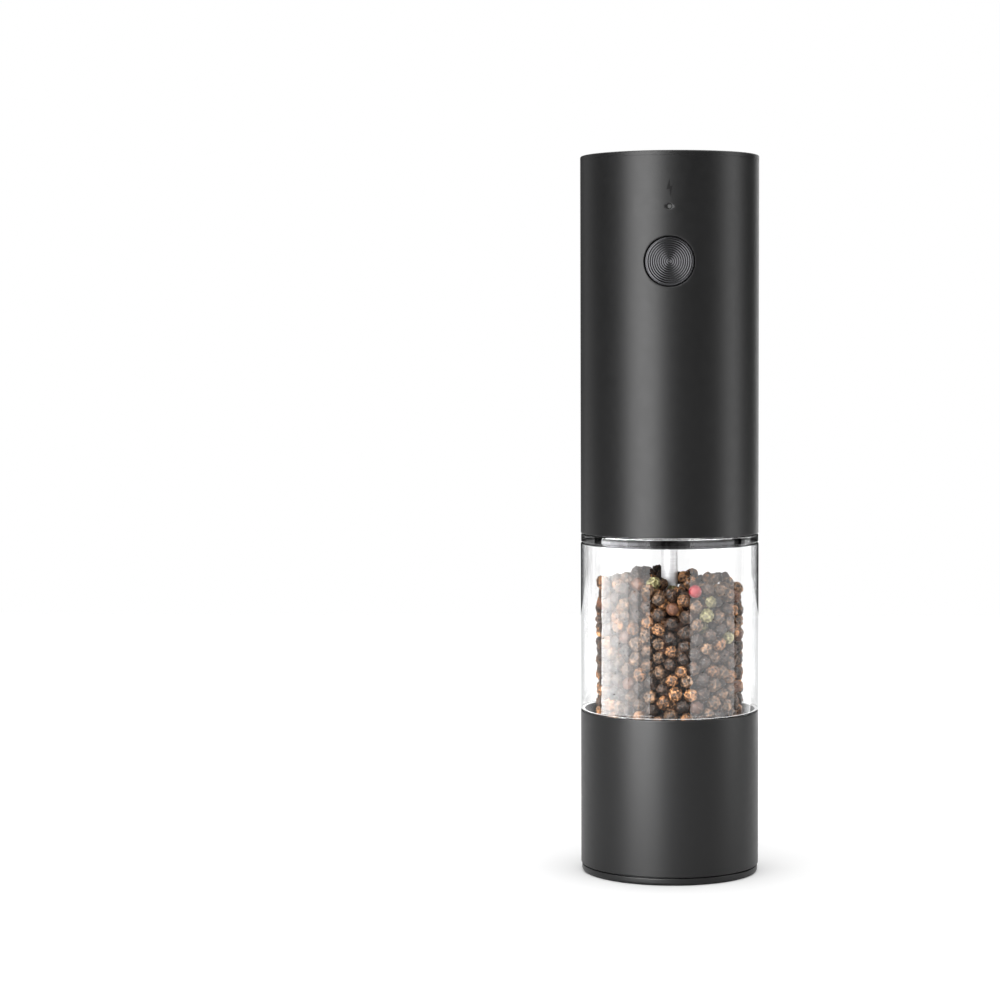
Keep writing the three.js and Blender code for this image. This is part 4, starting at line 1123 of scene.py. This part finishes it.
class MILL_OT_stage(bpy.types.Operator):
    """Sets the camera, the pale floor, the soft lights and the white surround"""

    bl_idname = "mill.stage"
    bl_label = "Studio stage"

    def execute(self, context):
        stage = context.scene.mill_stage
        half = stage.floor_size / 2
        floor_look = Finish("pale_floor", (0.86, 0.86, 0.86), 0.75)
        floor_look.link(floor_look.between(floor_look.noise(40.0), 0.7, 0.8), "Roughness")
        cloud = floor_look.noise(3.0)
        floor_look.link(floor_look.blend(cloud, (0.85, 0.85, 0.85), (0.88, 0.88, 0.88)), "Base Color")
        floor = add_mesh("floor", [(-half, -half, 0), (half, -half, 0), (half, half, 0), (-half, half, 0)],
                         [[0, 1, 2, 3]], floor_look.material)
        floor.modifiers.clear()

        camera = bpy.data.cameras.new("camera")
        camera.lens = stage.lens
        camera.clip_start = 0.01
        camera.clip_end = 20.0
        holder = bpy.data.objects.new("camera", camera)
        holder.location = (0.0, -stage.camera_distance, stage.camera_height)
        tilt = Matrix.Rotation(math.pi / 2 - stage.camera_pitch, 3, "X")
        turn = Matrix.Rotation(stage.camera_yaw, 3, "Z") @ tilt
        holder.rotation_euler = (turn @ Matrix.Rotation(stage.camera_roll, 3, "Z")).to_euler()
        context.scene.collection.objects.link(holder)
        context.scene.camera = holder

        axis_height = CAD_BOX[1][2] / 2
        jar = bpy.data.objects["clear_jar"]
        others = [piece for piece in bpy.data.objects if piece.type == "MESH" and piece not in (jar, floor)]
        foot = [piece for piece in others if piece.name in ("lower_sleeve_shell", "base_cap_shell")]
        groups = {"jar": group_of("lit_jar", [jar]), "others": group_of("lit_others", others),
                  "foot": group_of("lit_foot", foot)}
        for name, lit, azimuth, spread, height, radiance in SOFT_LIGHTS:
            distance = stage.light_distance
            width = 2 * distance * math.tan(math.radians(spread / 2))
            angle = math.radians(azimuth)
            where = (distance * math.sin(angle), -distance * math.cos(angle), axis_height)
            height *= distance
            made = soft_light(name, where, (width, height), radiance)
            made.light_linking.receiver_collection = groups[lit]
        soft_light("overhead_softbox", (0.0, -0.1, 1.5), (3.0, 3.0), stage.overhead)

        world = context.scene.world or bpy.data.worlds.new("surround")
        context.scene.world = world
        world.use_nodes = True
        nodes, links = world.node_tree.nodes, world.node_tree.links
        nodes.clear()
        output = nodes.new("ShaderNodeOutputWorld")
        seen = nodes.new("ShaderNodeBackground")
        seen.inputs["Color"].default_value = (1.0, 1.0, 1.0, 1.0)
        lit = nodes.new("ShaderNodeBackground")
        lit.inputs["Color"].default_value = (1.0, 1.0, 1.0, 1.0)
        lit.inputs["Strength"].default_value = stage.surround
        path = nodes.new("ShaderNodeLightPath")
        choose = nodes.new("ShaderNodeMixShader")
        links.new(path.outputs["Is Camera Ray"], choose.inputs[0])
        links.new(lit.outputs[0], choose.inputs[1])
        links.new(seen.outputs[0], choose.inputs[2])
        links.new(choose.outputs[0], output.inputs[0])
        context.scene.view_settings.view_transform = "Standard"
        return {"FINISHED"}


# name, pieces it lights, azimuth from the front (towards +X is positive), spread in degrees, height as a
# share of its distance, radiance
SOFT_LIGHTS = [
    ("key_strip", "others", -31.5, 38.0, 3.0, 10.6),
    ("low_key_strip", "foot", -32.0, 38.0, 3.0, 10.0),
    ("far_left_strip", "others", -125.0, 30.0, 3.0, 0.55),
    ("side_strip", "others", 84.0, 24.0, 3.0, 4.6),
    ("back_right_strip", "others", 158.0, 28.0, 3.0, 2.0),
    ("left_box_1", "jar", -88.0, 15.0, 2.0, 36.0),
    ("left_box_2", "jar", -74.0, 14.0, 2.0, 30.0),
    ("left_box_3", "jar", -60.0, 14.0, 2.0, 23.0),
    ("left_box_4", "jar", -46.0, 14.0, 2.0, 15.0),
    ("left_box_5", "jar", -31.5, 15.0, 2.0, 8.5),
    ("right_box", "jar", 57.5, 64.0, 2.0, 8.0),
    ("right_edge_box", "jar", 114.0, 22.0, 2.0, 3.0),
]


def group_of(name, pieces):
    """A collection that only says which pieces a light falls on."""
    made = bpy.data.collections.new(name)
    for piece in pieces:
        made.objects.link(piece)
    return made


def soft_light(name, where, size, radiance):
    """A rectangular soft box that faces the middle of the mill, as bright as the radiance given."""
    lamp = bpy.data.lights.new(name, "AREA")
    lamp.shape = "RECTANGLE"
    lamp.size, lamp.size_y = size
    lamp.energy = radiance * math.pi * size[0] * size[1]
    made = bpy.data.objects.new(name, lamp)
    made.location = where
    towards = Vector((0, 0, CAD_BOX[1][2] / 2)) - made.location
    made.rotation_euler = towards.to_track_quat("-Z", "Y").to_euler()
    made.visible_camera = False
    bpy.context.scene.collection.objects.link(made)
    return made


STEPS = [
    MILL_OT_head_shell, MILL_OT_lower_shell, MILL_OT_jar, MILL_OT_peppercorns, MILL_OT_button, MILL_OT_icon,
    MILL_OT_shaft, MILL_OT_socket, MILL_OT_inside, MILL_OT_stage,
]


class MILL_PT_panel(bpy.types.Panel):
    """Lists the mill's pieces in the sidebar"""

    bl_label = "Pepper mill"
    bl_space_type = "VIEW_3D"
    bl_region_type = "UI"
    bl_category = "Pepper mill"

    def draw(self, context):
        for step in STEPS:
            self.layout.operator(step.bl_idname)


GROUPS = {"mill_sizes": MillSizes, "mill_colours": MillColours, "mill_stage": MillStage}


def register():
    for made in [*GROUPS.values(), *STEPS, MILL_PT_panel]:
        bpy.utils.register_class(made)
    for name, group in GROUPS.items():
        setattr(bpy.types.Scene, name, PointerProperty(type=group))


def unregister():
    for name in GROUPS:
        delattr(bpy.types.Scene, name)
    for made in [MILL_PT_panel, *reversed(STEPS), *reversed(GROUPS.values())]:
        bpy.utils.unregister_class(made)


def main():
    register()
    for step in STEPS:
        area, name = step.bl_idname.split(".")
        getattr(getattr(bpy.ops, area), name)()


if __name__ == "__main__":
    main()
